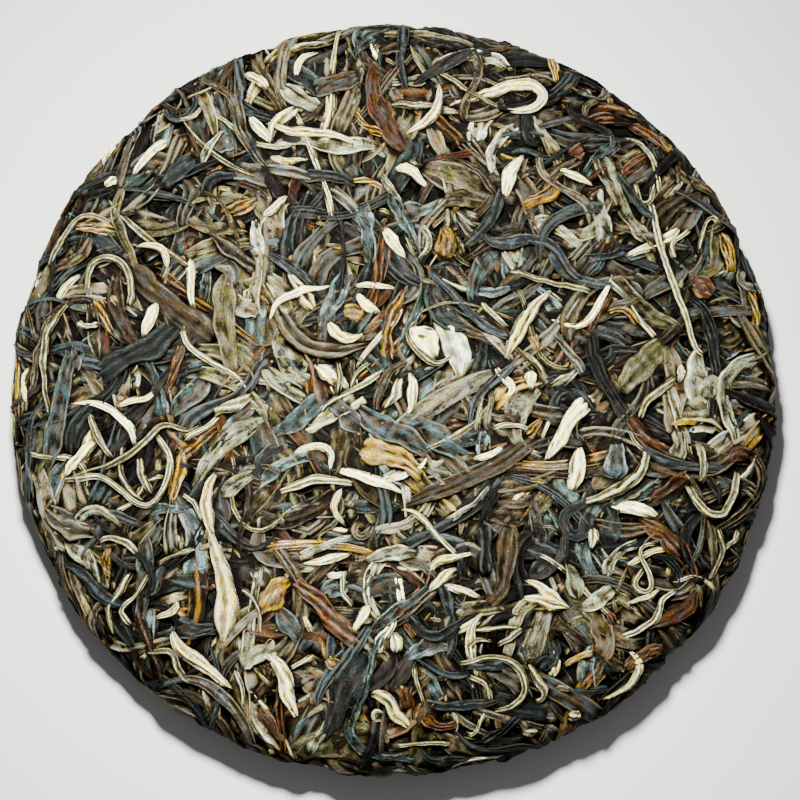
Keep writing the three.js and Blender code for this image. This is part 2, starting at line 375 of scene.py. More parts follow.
# The leaves, buds and stems of the domed face by kind: width, then the points of the middle line, in mm.
# They were read across and up a view from this angle above the floor, this far from this target. Scale and
# middle turn readings into sizes on a plane through the target that faces the view. Each leaf stands where
# its line of sight meets the pile, at this share of the pile's ceiling.
VIEW_ELEVATION = math.radians(79)
VIEW_DISTANCE = 900
VIEW_TARGET = (1.7, -2.3, 12)
READ_SCALE = (0.986, 0.969)
READ_MIDDLE = (-1.38, -0.13)
READ_LIFT = 0.85
READ_ROUNDS = 5
FACE_LEAVES = {
    "black_leaves": (
        (4.5, (-61, 56), (-57, 61), (-52, 66)),
        (3.5, (-83, 50), (-79, 55), (-72, 57)),
        (4, (6, 96), (13, 95.5), (20, 94)),
        (7, (-79, 6), (-70, 12), (-63, 15), (-57, 21.5)),
        (3.5, (23, -33), (25, -27), (26.5, -22)),
        (3.5, (77, 29), (82, 22), (84, 11), (84, -6)),
        (5, (-58, -60), (-52, -61), (-45, -60)),
        (6, (-6, -65), (-12, -74), (-16, -85), (-19, -92)),
        (4.5, (23, -32), (24, -40), (25, -46)),
        (2.5, (6, -80), (14, -81.5), (24, -80), (32, -78)),
        (2.5, (22, -91), (28, -88), (34, -83)),
        (2, (66, -40), (72, -42), (75, -47), (73, -50)),
        (2, (45, -76.5), (52, -77.5), (57, -76)),
        (3.5, (-25, 60), (-17, 60), (-9, 58)),
        (2.8, (3, -56), (7, -61), (12, -62.5), (18, -58), (24, -55)),
        (4, (51, 19), (53, 9), (58, 0), (62, -6)),
    ),
    "slate_leaves": (
        (4.5, (-9, 54), (-7, 45), (-6, 36)),
        (3, (-1, 57), (1, 51), (5, 43), (7, 39)),
        (3.5, (-65, 12), (-62, 4), (-60, -6)),
        (5, (-85, 15), (-87, 3), (-89, -9), (-92, -19)),
        (6, (-59, -4), (-54, 1), (-49, 6)),
        (2.5, (-66, -30), (-60, -28), (-54, -29)),
        (4.5, (-13, 36), (-15, 28), (-20, 20)),
        (6, (-10, -1), (-4, -6), (4, -10), (10, -15)),
        (7, (0, -5), (9, -8), (15, -12), (20, -14)),
        (5, (-34, -9), (-27, -6), (-22, -1), (-18, 2)),
        (5, (-17, 1), (-13, -3), (-8, -8)),
        (3, (21, 30), (27, 29), (31, 31)),
        (5.5, (58, -10), (58, -16), (57, -21)),
        (5, (57, -26), (57, -32), (56, -39)),
        (4, (-66, -34), (-65, -43), (-66, -51), (-67, -59)),
        (5, (-31, -54), (-27, -60), (-24, -64)),
        (2.6, (2, -56), (-5, -65), (-8, -77), (-12, -88), (-6, -94), (8, -96)),
        (3, (11, -47), (4, -53), (-3, -58), (-8, -63)),
        (5, (-9, -51), (-2, -48), (3, -49)),
        (5, (-20, -51), (-15, -49), (-11, -49)),
        (4, (2, -68), (10, -65), (16, -65.5)),
        (5, (-48, 67), (-45, 69), (-42, 70)),
    ),
    "umber_leaves": (
        (3.8, (-43, 88), (-41, 75), (-37, 67), (-32, 61)),
        (4, (-49, 46), (-42, 40), (-36, 35)),
        (6, (-22, 83), (-15, 85), (-9, 87)),
        (5, (0, -28), (12, -23), (24, -18), (38, -9)),
        (7, (-69, 37), (-61, 28), (-53, 21), (-47, 16)),
        (2.2, (-89, 25), (-93, 14), (-95, 2)),
        (2.2, (4, 11), (-1, 8.5), (-4, 3), (-5, -3)),
        (5, (24, -55), (28, -50), (29, -42), (30, -32)),
        (4, (-5, 93), (0, 94.5), (5, 95)),
        (3, (17, 37), (25, 42), (34, 45.5)),
        (6, (-30, 24), (-25, 17), (-17, 14), (-6, 16)),
        (2.5, (16, 65), (22, 61), (27, 54)),
    ),
    "olive_leaves": (
        (6, (6, 63.5), (15, 61), (24, 55)),
        (4, (11, 54), (17, 54), (24, 52.5)),
        (5.5, (-43, 36), (-45, 29), (-44, 19), (-42, 7)),
        (6.5, (59, 3), (65, 10), (71, 17)),
        (2.5, (-70, 60), (-73, 50), (-71, 44), (-67, 35)),
        (3, (-5, 98), (8, 97.5), (23, 94.5)),
        (4, (58, 35), (62, 28), (68, 23), (75, 19)),
    ),
    "sage_leaves": (
        (2.2, (-51, 62), (-48, 69), (-43.5, 74)),
        (3.5, (-37, 50), (-36, 44), (-35, 38)),
        (5, (-30, 84), (-25, 81), (-19, 78)),
        (3.2, (-2, 85), (4, 86), (9, 87)),
        (4, (9, 90), (17, 92), (26, 91), (31, 88)),
        (4, (-33, 69), (-25, 70), (-15, 68), (-4, 69)),
        (2, (-4, 62), (-2, 58), (2, 53)),
        (2.5, (34, 75), (28, 71), (25, 66), (26, 60)),
        (1.6, (6, 49), (8.5, 45), (9, 41), (5, 37)),
        (4.5, (53, 68), (57, 58), (61, 50), (66, 42.5)),
        (4.5, (53, 58), (53, 52), (55, 46), (53.5, 41)),
        (4, (34, 46), (39, 48), (45, 44.5), (50, 40.5)),
        (4, (-46, -25), (-40, -21), (-36, -18)),
        (3, (-83, -33), (-81, -29), (-76, -29), (-71, -34)),
        (1.5, (12, -32), (18, -29), (23, -25), (26, -20)),
        (4.5, (-35, 11), (-29, 4), (-22, 0)),
        (5, (-29, 9), (-26, 7), (-22, 5)),
        (5, (80, 17), (79, 9), (79, 2), (80, -2)),
        (4.5, (82, 8), (83, 4), (82.5, 0)),
        (2.5, (39, 4), (45, 6), (48, 9)),
        (3.5, (-81, -39), (-79, -45), (-79, -52)),
        (6, (-41, -70), (-36, -67), (-30, -66)),
        (3, (65, -37), (60, -39), (56, -43), (55, -48)),
        (4.5, (48, -55), (53, -53), (58, -49)),
        (4, (45, -42), (47, -48), (48, -53)),
        (4.5, (-54, -24), (-48, -15), (-42, -9), (-33, -4)),
        (4.5, (74, -7), (74.5, -12), (74, -16)),
        (4, (98, 12), (92, 11), (87, 7), (86, 1), (88, -5), (90, -12)),
        (2, (-27, -42), (-18, -38), (-9, -35)),
        (4, (-8, -42), (0, -40), (6, -40)),
    ),
    "russet_leaves": (
        (3.2, (-36, -81), (-32.3, -86.3), (-28.9, -91.7)),
        (2, (10, 64.5), (16, 66), (22, 67)),
        (3, (47, 74), (53, 75.5), (59, 75)),
        (4, (45, 66), (48, 66.7), (50, 67)),
        (2.2, (-55, 17), (-57, 10), (-60, 1)),
        (1.8, (58, 31), (54, 25), (50, 18)),
        (6, (77, 32), (81, 30.5), (84, 28)),
        (4, (66, -27), (72, -23), (79, -18)),
        (4.5, (2, -75), (3, -79), (3, -83)),
        (2, (2, -58), (4, -61), (6, -63)),
        (3, (6, -83), (12, -87), (18, -85)),
        (4, (64, -31), (71, -36), (77, -43), (79, -49)),
        (2.2, (56, -55), (57, -58), (58, -60)),
        (4, (60, -72), (66, -67), (71, -66)),
        (5, (-5, 91), (-6, 83), (-3, 76), (3, 66)),
        (3, (62, 74), (70, 68), (76, 61)),
        (4, (87, -17), (90, -13.5), (93.5, -15)),
        (5, (-27, -47), (-20, -53), (-15, -59), (-8, -65)),
        (4, (79, -50), (77, -55), (70, -58), (63, -61)),
        (4, (60, -3), (65, -9), (70, -13), (76, -15)),
    ),
    "amber_leaves": (
        (3.4, (85.5, 45.5), (87.2, 40), (88.6, 33.5)),
        (2.8, (92.6, 30.5), (94, 25), (94.9, 19)),
        (2.6, (40.5, 92.3), (41.6, 88.5), (42.6, 84.2)),
        (2.6, (68.8, 71), (71, 67.4), (73.5, 63.5)),
        (3, (-84, 46.5), (-78, 46), (-72, 45)),
        (2.6, (-50, 58), (-47, 61), (-44, 63)),
        (3.5, (-46, 50), (-40, 52), (-35, 54)),
        (2.2, (-11, 78), (-7, 73), (-2, 71)),
        (5, (12, 48), (14, 43), (12, 38)),
        (3, (40, 91), (42, 89), (43, 87)),
        (4, (33, 52), (39, 54.5), (44, 58)),
        (2.5, (86, 45), (88, 40), (89, 34)),
        (2.5, (-79, 29), (-76, 23), (-74, 17)),
        (4, (-14, 25), (-11, 24), (-8, 22.5)),
        (3.5, (3, 31), (-1, 23), (-2, 16), (-0.5, 10)),
        (7, (-9, -10), (0, -14), (8, -20)),
        (2, (55, 24), (59, 25), (62, 23), (64, 20)),
        (1.5, (71, -6), (76, -5), (80, -6)),
        (3, (34, -9), (37, -6), (39, -4)),
        (2, (34, 19), (36, 16), (38, 13)),
        (2.5, (-75, -38), (-75.5, -43), (-74.5, -48)),
        (5.5, (-35, -57), (-31, -50), (-27, -47)),
        (3, (-18, -68), (-16, -69.5), (-15, -71)),
        (1.8, (44, -71), (48, -68), (53, -67)),
        (1.6, (-12, 59), (-6, 59), (-3, 56)),
        (3, (-55, -11), (-56, -18), (-59, -27)),
    ),
    "silver_buds": (
        (3, (-59, 71), (-64, 66), (-69, 60)),
        (3.5, (-77, 63), (-75, 66), (-73, 68)),
        (2.2, (-69, 41.5), (-63, 42), (-60, 39.5), (-59, 35)),
        (3, (-76, 57), (-74, 58.5), (-72, 59.5)),
        (3, (-40, 88), (-36, 86), (-33, 83)),
        (3, (-38, 77), (-35, 72), (-32, 69)),
        (2.5, (-35, 49), (-31, 52), (-28, 56)),
        (2, (-20, 94), (-25, 91), (-26, 86)),
        (2.4, (11.5, 85.5), (11.5, 79), (8, 74), (2.5, 71.5)),
        (3.2, (14, 79), (24, 82), (33, 84.5), (39, 83), (38, 79), (33, 77), (27, 79)),
        (2.5, (-34, 75), (-27, 72), (-18, 71.5), (-8, 68)),
        (1.8, (-33, 66), (-29, 64), (-22, 65)),
        (2.5, (-1, 62), (4, 62), (7, 59), (10, 57)),
        (3.5, (34, 66), (30, 61), (29, 54)),
        (3.2, (-3, 46), (0, 42), (3, 38)),
        (2, (42, 62), (47, 60.5), (52, 58)),
        (3.2, (-62, 27), (-64, 22), (-66, 17)),
        (2.2, (-89, 26), (-86, 31), (-82, 34.5)),
        (1.8, (-96, 10), (-97, 4), (-96, -1)),
        (2.5, (-85, -0.5), (-79, 0), (-73, -3), (-69, -7), (-68, -12)),
        (2, (-73, -1), (-68, 0.5), (-64, 1), (-63, 4.5)),
        (3, (-77, -9), (-81, -13), (-87, -20)),
        (3, (-46.5, -18), (-49, -24), (-49, -30), (-47.5, -36)),
        (2, (-33, 21), (-31, 26), (-26, 29), (-16, 31)),
        (3.5, (-28, 35), (-24, 29), (-21, 24)),
        (3.2, (-18, 22), (-15, 18), (-12, 16.5), (-8.5, 18)),
        (1.6, (-11, 31), (-4, 31), (1, 30)),
        (3, (-10, 29), (-8, 26), (-4, 24)),
        (2, (-27, -14), (-21, -11.5), (-16.5, -13), (-17, -20)),
        (2, (-14, -23), (-16, -28), (-13, -33)),
        (1.8, (20, -15), (25, -14), (29, -11)),
        (2.2, (26, 10), (29, 6), (31, 3), (28, 1)),
        (2, (57, 34), (54, 27), (50, 21), (46, 20), (41, 22)),
        (4.5, (53, 1.5), (47, -3), (43, -10), (39, -16)),
        (1.8, (75, 11), (75, 8), (74.5, 5)),
        (3, (35, 9), (35.5, 6), (35.5, 3)),
        (5, (-49, -33), (-46, -42), (-44, -51), (-45, -65)),
        (2, (-64, -57.5), (-60, -57), (-57, -55), (-58, -52)),
        (3.5, (-59, -60), (-56, -66), (-49, -71), (-42, -77)),
        (1.6, (-24, -56), (-23, -59), (-21, -62)),
        (4, (-34, -66), (-29, -72), (-28, -79), (-25, -85)),
        (2, (22, -40), (16, -41), (10, -43), (9, -46)),
        (3, (16, -44), (12, -47), (9, -50.5)),
        (2, (12, -48), (17, -50), (23, -52)),
        (3.5, (0, -61), (0.5, -64), (0, -67.5)),
        (3.5, (-7, -78), (-2, -78.5), (0, -83), (5, -88)),
        (2, (-12, -45), (-15, -46), (-18, -46)),
        (2.5, (-6, -53), (-9, -58), (-11, -62)),
        (2.2, (-25, -43), (-18, -42), (-11, -40)),
        (2, (70, -50), (66, -52), (61, -53.5)),
        (2.8, (52, -33), (52, -36), (51, -39.5)),
        (2.4, (61, -66), (64, -70), (62, -75), (54, -80)),
        (3, (41, -64), (42, -69), (41, -74)),
        (2.8, (34, -47), (38, -49), (44, -54)),
        (3.2, (32, -52), (38, -52.5), (46, -55)),
        (6.5, (4, 20), (8, 16), (11, 11)),
        (2.5, (4, 8), (5, 2), (3, -4)),
        (2.5, (-16, -18), (-8, -19.5), (3, -24)),
        (4, (42, 31), (36, 25), (32, 18), (29, 12)),
        (4, (-21, 10), (-16, 7), (-12, 3)),
        (4.5, (48, -11), (48, -17), (46, -24)),
    ),
    "straw_stems": (
        (2, (-91, 35), (-86, 44), (-82, 49), (-77, 48.5), (-73, 46.5)),
        (2.2, (-81, 29), (-80, 36), (-76, 38.5), (-71, 37), (-69, 31), (-69.5, 25)),
        (1.3, (-57, 75), (-53, 75), (-50, 79)),
        (1.5, (-55, 80), (-50, 82), (-46, 84)),
        (1.8, (-28, 93), (-22, 95), (-17, 95.5)),
        (2, (-2, 79.5), (5, 79), (12, 78.5)),
        (1.5, (10, 89), (16, 85), (22, 81), (28, 78)),
        (1.6, (60, 71), (64, 69), (68, 63), (69.5, 55)),
        (1.8, (63, 59), (64, 54), (66, 52), (68, 57), (68, 61)),
        (2.2, (67, 53), (69, 43), (73, 32), (77, 20), (79, 14), (82, 12.5)),
        (1.6, (78, 46), (73, 43), (72, 41), (74, 38)),
        (1.3, (80, 40), (81, 47), (83, 49), (85, 46)),
        (1.8, (-84, 22), (-81, 20), (-77, 21)),
        (1.8, (-85, 27), (-90, 20), (-92, 8), (-90.5, -4)),
        (1.8, (-80, -2), (-78.5, -8), (-74, -15)),
        (1.8, (-50, -5), (-54, -8), (-60, -6), (-66, -11), (-73, -16), (-86, -20)),
        (1.8, (-62, -9), (-58.5, -15), (-60, -22), (-65, -28), (-71, -24), (-77, -20), (-88, -21)),
        (2, (-71, -11), (-72, -17), (-70, -23), (-65, -27)),
        (2, (-67, -14), (-66, -20), (-63, -25)),
        (1.5, (-56, -24), (-52, -27), (-50, -32)),
        (1.5, (3, 20), (3, 17), (7, 12.5), (11, 10), (16, 13)),
        (1.3, (-11.5, 3), (-10, 8), (-6, 11)),
        (2.5, (-3, -2), (0.5, 2.5), (2, 7)),
        (2.5, (-31, -24), (-25, -22), (-19, -20.5), (-10, -21.5)),
        (1.5, (22, 27), (27, 22), (30, 20)),
        (1.3, (24, 4), (22, -2), (21, -9)),
        (1.5, (25, -7), (30, -6), (35, -7)),
        (1.8, (-15, 11), (-14, 7), (-15, 2)),
        (2, (30, 35), (38, 32.5), (46, 31), (52, 29)),
        (2.5, (74, 7), (68, 2), (65, -1), (64, -5)),
        (3, (49, -27), (57, -24), (63, -20), (65.5, -16), (65.5, -12)),
        (2.5, (79, -10), (81, -16), (80, -22)),
        (2.5, (77, -22), (80, -28), (85, -31), (88, -27), (90, -19)),
        (1.5, (33, 14), (38, 9), (40, 4)),
        (1.5, (-64, -45), (-68, -52), (-72, -56), (-69, -60)),
        (2, (-78, -38), (-75, -36), (-70, -37.5), (-67, -41)),
        (2, (-69, -45), (-72, -51), (-75, -55), (-74, -60), (-74, -63)),
        (1.2, (-63, -44), (-59, -41), (-51, -39)),
        (2, (-66, -67), (-58, -67), (-56, -73), (-49, -76)),
        (1.3, (-42, -71), (-40, -76), (-40, -83)),
        (1.3, (-41, -49), (-37, -52), (-35, -58), (-36, -63)),
        (1.6, (-28, -71), (-24, -69.5), (-21, -67.5)),
        (0.9, (-2.5, -83.5), (-4.5, -81.5), (-6.5, -83.5), (-4.5, -85.5), (-2.7, -84.2)),
        (1.3, (5, -70), (6, -76), (8, -81)),
        (2, (17, -70), (24, -68), (31, -69), (34, -74), (33, -80), (25, -83)),
        (1.8, (19, -73), (24, -75), (25, -80)),
        (1.3, (24, -82), (21, -89), (19, -89)),
        (1.5, (-13, -45), (-14, -50), (-11, -55)),
        (1.2, (20, -61), (27, -60), (33, -60)),
        (1.8, (27, -65), (31, -62), (34, -60)),
        (1.5, (18, -66), (22, -63), (26, -64)),
        (1.3, (0, -92), (8, -91), (16, -91.5)),
        (
            1.6,
            *((69, -38), (65, -38), (64, -41), (66, -44), (67.5, -48)),
            *((66, -51), (63, -50), (62.5, -47), (65, -45), (68, -41)),
        ),
        (1.8, (74, -50), (70, -53), (68, -58), (64, -61), (58, -63)),
        (1.8, (91, -34), (88, -38), (85, -41)),
        (1.8, (85, -33), (86, -40), (84, -44), (82, -48)),
        (2, (35, -70), (38, -75), (40, -79), (36, -80)),
        (3, (45, -84), (47, -83.5), (49, -83)),
        (2, (33, -88), (36, -88), (38, -88)),
        (3, (-48, -3), (-42, -1), (-37, 2)),
    ),
}


class TeaCakeBody(bpy.types.PropertyGroup):
    """Sizes of the pressed body, without the leaves that stand proud of it."""

    radius: bpy.props.FloatProperty(
        name="Radius", description="Radius of the pressed body", default=0.098, unit="LENGTH"
    )
    crown_height: bpy.props.FloatProperty(
        name="Crown", description="Height of the middle of the face", default=0.0238, unit="LENGTH"
    )
    widest_height: bpy.props.FloatProperty(
        name="Widest", description="Height at which the rim is widest", default=0.0095, unit="LENGTH"
    )
    foot_lift: bpy.props.FloatProperty(
        name="Foot Lift", description="Height of the underside", default=0.0008, unit="LENGTH"
    )
    dimple_radius: bpy.props.FloatProperty(
        name="Dimple Radius", description="Radius of the hollow below", default=0.027, unit="LENGTH"
    )
    dimple_depth: bpy.props.FloatProperty(
        name="Dimple Depth", description="Depth of the hollow below", default=0.009, unit="LENGTH"
    )
    core_drop: bpy.props.FloatProperty(
        name="Core Drop", description="How far the core lies below the body", default=0.0016, unit="LENGTH"
    )


class TeaCakeLeaves(bpy.types.PropertyGroup):
    """How many leaves are laid, and how high they may pile up."""

    bed_count: bpy.props.IntProperty(
        name="Bed", description="Leaves in the lowest layer", default=1300
    )
    gap_rounds: bpy.props.IntVectorProperty(
        name="Gap Fill", description="Leaves laid over bare places, round by round", default=(150, 90, 60)
    )
    cover_count: bpy.props.IntProperty(
        name="Cover", description="Leaves laid over the bed", default=900
    )
    bit_count: bpy.props.IntProperty(
        name="Broken Bits", description="Broken bits between the leaves", default=1200
    )
    stray_counts: bpy.props.IntVectorProperty(
        name="Strays", description="Dark strips under and over the placed leaves", default=(170, 60, 50)
    )
    pile_height: bpy.props.FloatProperty(
        name="Pile", description="Most that leaves pile up on the face", default=0.0046, unit="LENGTH"
    )
    foot_pile_height: bpy.props.FloatProperty(
        name="Foot Pile", description="Most that they pile up below", default=0.0024, unit="LENGTH"
    )
    seed: bpy.props.IntProperty(name="Seed", description="Seed of the random lie", default=357)


class TeaCakeStage(bpy.types.PropertyGroup):
    """The view and the light."""

    elevation: bpy.props.FloatProperty(
        name="Elevation", description="Height of the view", default=VIEW_ELEVATION, subtype="ANGLE"
    )
    distance: bpy.props.FloatProperty(
        name="Distance", description="Camera to the cake", default=VIEW_DISTANCE * MM, unit="LENGTH"
    )
    lens: bpy.props.FloatProperty(name="Lens", description="Focal length in mm", default=158.2)
    key_power: bpy.props.FloatProperty(
        name="Key", description="Power of the main light", default=3.7, unit="POWER"
    )
    fill_power: bpy.props.FloatProperty(
        name="Fill", description="Power of the fill light", default=1.0, unit="POWER"
    )
    sky: bpy.props.FloatProperty(
        name="Sky", description="Strength of the surrounding light", default=0.33
    )


def walked(line):
    """How far along a line each of its points lies."""
    return np.append(0, np.cumsum(np.linalg.norm(np.diff(line, axis=0), axis=1)))


def evened(line, count):
    """So many points spread evenly along a line."""
    gone = walked(line)
    at = np.linspace(0, gone[-1], count)
    return np.stack([np.interp(at, gone, line[:, axis]) for axis in (0, 1)], axis=1)


def ways_of(line):
    """Directions along a profile and out of it."""
    run = np.gradient(line, axis=0)
    run /= np.linalg.norm(run, axis=1, keepdims=True)
    return run, np.stack([-run[:, 1], run[:, 0]], axis=1)


def turned(spin, profile, index):
    """Samples of a profile, which are pairs of across and up, turned to directions round the axis."""
    return np.concatenate([spin * profile[index, :1], profile[index, 1:]], axis=1)


def many(count, draw, *limits):
    """So many draws of a random number."""
    return np.array([draw(*limits) for _ in range(count)])


class Surface:
    """The core's turned surface, in mm: a profile from the crown over the rim to the middle of the dimple."""

    SAMPLES = 1600
    # Powers of the curves from the widest place to the middle of the face and to that of the underside
    DOME_POWER = 3.2
    FOOT_POWER = 9

    def __init__(self, body):
        radius = body.radius / MM
        crown = body.crown_height / MM
        widest = body.widest_height / MM
        foot = body.foot_lift / MM
        r = radius * np.sin(np.linspace(0, np.pi / 2, self.SAMPLES))
        top = widest + (crown - widest) * np.sqrt(1 - (r / radius) ** self.DOME_POWER)
        below = widest - (widest - foot) * np.sqrt(1 - (r / radius) ** self.FOOT_POWER)
        into = np.clip(1 - (r * MM / body.dimple_radius) ** 2, 0, 1)
        below += body.dimple_depth / MM * into * into * (3 - 2 * into)
        line = np.stack([np.append(r, r[-2::-1]), np.append(top, below[-2::-1])], axis=1)
        line = evened(line, self.SAMPLES)
        line = evened(line - ways_of(line)[1] * body.core_drop / MM, self.SAMPLES)
        line[:, 0] = np.maximum(line[:, 0], 0)
        self.line = line
        self.run, self.out = ways_of(line)
        self.length = np.linalg.norm(np.diff(line, axis=0), axis=1).sum()
        self.step = self.length / (self.SAMPLES - 1)
        self.rim = int(line[:, 0].argmax())
        area = np.cumsum(line[:, 0])
        self.area = area / area[-1]

    def nearest(self, points):
        """Index of the profile sample nearest to each point."""
        r = np.hypot(points[:, 0], points[:, 1])
        aside = self.line[None, :, 0] - r[:, None]
        above = self.line[None, :, 1] - points[:, 2, None]
        return (aside**2 + above**2).argmin(1)

    def at(self, index, angle):
        """Point, way out and way along the profile for samples at angles round the cake."""
        spin = np.stack([np.cos(angle), np.sin(angle)], axis=1)
        return tuple(turned(spin, part, index) for part in (self.line, self.out, self.run))

    def settle(self, points):
        """Point, way out, way along and profile sample on the surface nearest to each point."""
        index = self.nearest(points)
        angle = np.arctan2(points[:, 1], points[:, 0])
        return (*self.at(index, angle), index)

    def top_height(self, x, y):
        """Height of the domed face over places on the floor."""
        face = self.line[: self.rim]
        return np.interp(np.hypot(x, y), face[:, 0], face[:, 1])

    def stroll(self, index, angle, heading, stride, bend):
        """Points, ways out and samples of routes that start at samples and angles and bend at each stride."""
        point, out, run = self.at(index, angle)
        aside = np.cross(out, run)
        way = run * np.cos(heading)[:, None] + aside * np.sin(heading)[:, None]
        route = [(point, out, index)]
        for turn in bend.T:
            point, out, run, index = self.settle(point + way * stride)
            way = way - out * (way * out).sum(1, keepdims=True)
            way = way * np.cos(turn)[:, None] + np.cross(out, way) * np.sin(turn)[:, None]
            way /= np.linalg.norm(way, axis=1, keepdims=True)
            route.append((point, out, index))
        return route

    def walk(self, index, angle, heading, length, bend, rings):
        """Routes with their middles at samples and angles. Heading 0 runs along the profile."""
        middle = rings // 2
        stride = (length / (rings - 1))[:, None]
        ahead = self.stroll(index, angle, heading, stride, bend[:, middle:])
        behind = self.stroll(index, angle, heading + math.pi, stride, -bend[:, :middle][:, ::-1])
        points, outs, indices = (np.stack(part, axis=1) for part in zip(*behind[:0:-1], *ahead))
        return points, outs, indices


class Drift:
    """Directions that change smoothly over the cake, so that neighbouring leaves lie alike."""

    # How many waves, their lengths in mm, where they start, and the height of each in radians
    WAVES = 6
    WAVE_LENGTHS = (38, 120)
    PHASES = (0, 9)
    SWING = 1.1

    def __init__(self, chance):
        self.waves = [
            (
                math.tau / chance.uniform(*self.WAVE_LENGTHS),
                chance.uniform(0, math.tau),
                chance.uniform(*self.PHASES),
            )
            for _ in range(self.WAVES)
        ]

    def at(self, x, y):
        """Headings at places, in radians."""
        return self.SWING * sum(
            np.sin(pace * (x * math.cos(way) + y * math.sin(way)) + phase)
            for pace, way, phase in self.waves
        )


class Pile:
    """How high the leaves already stand over the core.

    One map runs round the crown and one round the dimple. The ceiling comes down from that of the face to
    that of the underside at the rim, and goes part of the way back up in the dimple.
    """

    # Size of the maps' cells and how far the maps reach, in mm, and the cells that each mean is taken over
    CELL = 0.5
    REACH = 128
    MEAN_ROUNDS = 3
    MEAN_STEPS = (-2, -1, 1, 2)

    # Where the ceiling starts to come down and over what width, the dimple, and the middle, where distances
    # along the profile are read from the distance to the axis, all in mm
    RIM_RADIUS, RIM_WIDTH = 80, 14
    DIMPLE_RADIUS = 26
    POLE_RADIUS = 30

    # How far down the ceiling is at the rim and in the dimple
    RIM_SHARE, DIMPLE_SHARE = 0.75, 0.4

    def __init__(self, surface, ceiling, foot_ceiling):
        self.surface = surface
        self.side = int(2 * self.REACH / self.CELL)
        self.maps = np.zeros((2, self.side, self.side))
        span = np.arange(surface.SAMPLES)
        to_rim = np.clip((surface.line[:, 0] - self.RIM_RADIUS) / self.RIM_WIDTH, 0, 1)
        below = span > surface.rim
        in_dimple = below & (surface.line[:, 0] < self.DIMPLE_RADIUS)
        low = np.where(in_dimple, self.DIMPLE_SHARE, np.where(below, 1, self.RIM_SHARE * to_rim))
        self.ceiling = ceiling + (foot_ceiling - ceiling) * low

    def cells(self, gone, angle, pole):
        """Rows and columns of places on one map, and which of them it holds."""
        reach = gone if pole == 0 else self.surface.length - gone
        column = ((reach * np.cos(angle) + self.REACH) / self.CELL).astype(int)
        row = ((reach * np.sin(angle) + self.REACH) / self.CELL).astype(int)
        inside = (reach < self.REACH - 1) & (reach >= 0)
        return row.clip(0, self.side - 1), column.clip(0, self.side - 1), inside

    def gone_at(self, spots, runs, points, index):
        """Distance along the profile of spots beside a route, for the route's own points and samples."""
        surface = self.surface
        gone = index[:, None] * surface.step + np.einsum("ijk,ik->ij", spots - points[:, None], runs)
        r = np.hypot(spots[..., 0], spots[..., 1])
        near_pole = surface.line[index, 0] < self.POLE_RADIUS
        if near_pole.any():
            half = surface.rim
            span = np.arange(surface.SAMPLES) * surface.step
            crown = np.interp(r, surface.line[:half, 0], span[:half])
            dimple = np.interp(r, surface.line[:half:-1, 0], span[:half:-1])
            level = np.where((index < half)[:, None], crown, dimple)
            gone = np.where(near_pole[:, None], level, gone)
        return gone

    def found(self, gone, angle):
        """The nearer map for places that lie together, their rows and columns, and which of them it holds."""
        pole = int(gone.mean() > self.surface.length / 2)
        return pole, *self.cells(gone, angle, pole)

    def read(self, gone, angle):
        """How high the pile stands at places that lie together."""
        pole, row, column, inside = self.found(gone, angle)
        return np.where(inside, self.maps[pole, row, column], 0)

    def bare(self, chance, count, least):
        """Samples and angles of places where less than so many mm of leaf lies."""
        spots = []
        for pole in (0, 1):
            row, column = np.nonzero(self.maps[pole] < least)
            x, y = (column + 0.5) * self.CELL - self.REACH, (row + 0.5) * self.CELL - self.REACH
            reach = np.hypot(x, y)
            near = reach < self.surface.length / 2
            gone = reach[near] if pole == 0 else self.surface.length - reach[near]
            spots += zip(gone / self.surface.step, np.arctan2(y, x)[near])
        picked = np.array(chance.sample(spots, min(count, len(spots))))
        return picked[:, 0].astype(int), picked[:, 1]

    def settle(self):
        """Keeps the mean of the finished height round each place, against which a leaf is proud or sunk."""
        self.means = self.maps.copy()
        for _ in range(self.MEAN_ROUNDS):
            for axis in (1, 2):
                shifted = [np.roll(self.means, step, axis) for step in self.MEAN_STEPS]
                self.means = (self.means + sum(shifted)) / (1 + len(shifted))

    def proud(self, gone, angle, height):
        """How far a place stands above the mean round it, and how far it lies below what covers it, in mm."""
        pole, row, column, inside = self.found(gone, angle)
        over = np.where(inside, height - self.means[pole, row, column], 0)
        under = np.where(inside, self.maps[pole, row, column] - height, 0)
        return over, under

    def add(self, gone, angle, height):
        """Raises both maps to the heights of a new leaf."""
        for pole in (0, 1):
            row, column, inside = self.cells(gone, angle, pole)
            if inside.any():
                np.maximum.at(self.maps[pole], (row[inside], column[inside]), height[inside])


def finer(values, times):
    """Values along the first axis with points added evenly between them."""
    at = np.linspace(0, len(values) - 1, (len(values) - 1) * times + 1)
    low = at.astype(int).clip(0, len(values) - 2)
    share = (at - low).reshape(-1, *[1] * (values.ndim - 1))
    return values[low] * (1 - share) + values[low + 1] * share


def neighbours(values):
    """The values before and after each, with the ends repeated."""
    padded = np.pad(values, [(1, 1)] + [(0, 0)] * (values.ndim - 1), mode="edge")
    return padded[:-2], padded[2:]


def eased(values, rounds):
    """Values smoothed along the first axis."""
    for _ in range(rounds):
        before, after = neighbours(values)
        values = 0.25 * before + 0.5 * values + 0.25 * after
    return values


def bridged(values, rounds):
    """A stiff leaf spans the dips between what it lies on."""
    for _ in range(rounds):
        before, after = neighbours(values)
        values = np.maximum(values, 0.5 * (before + after))
    return values


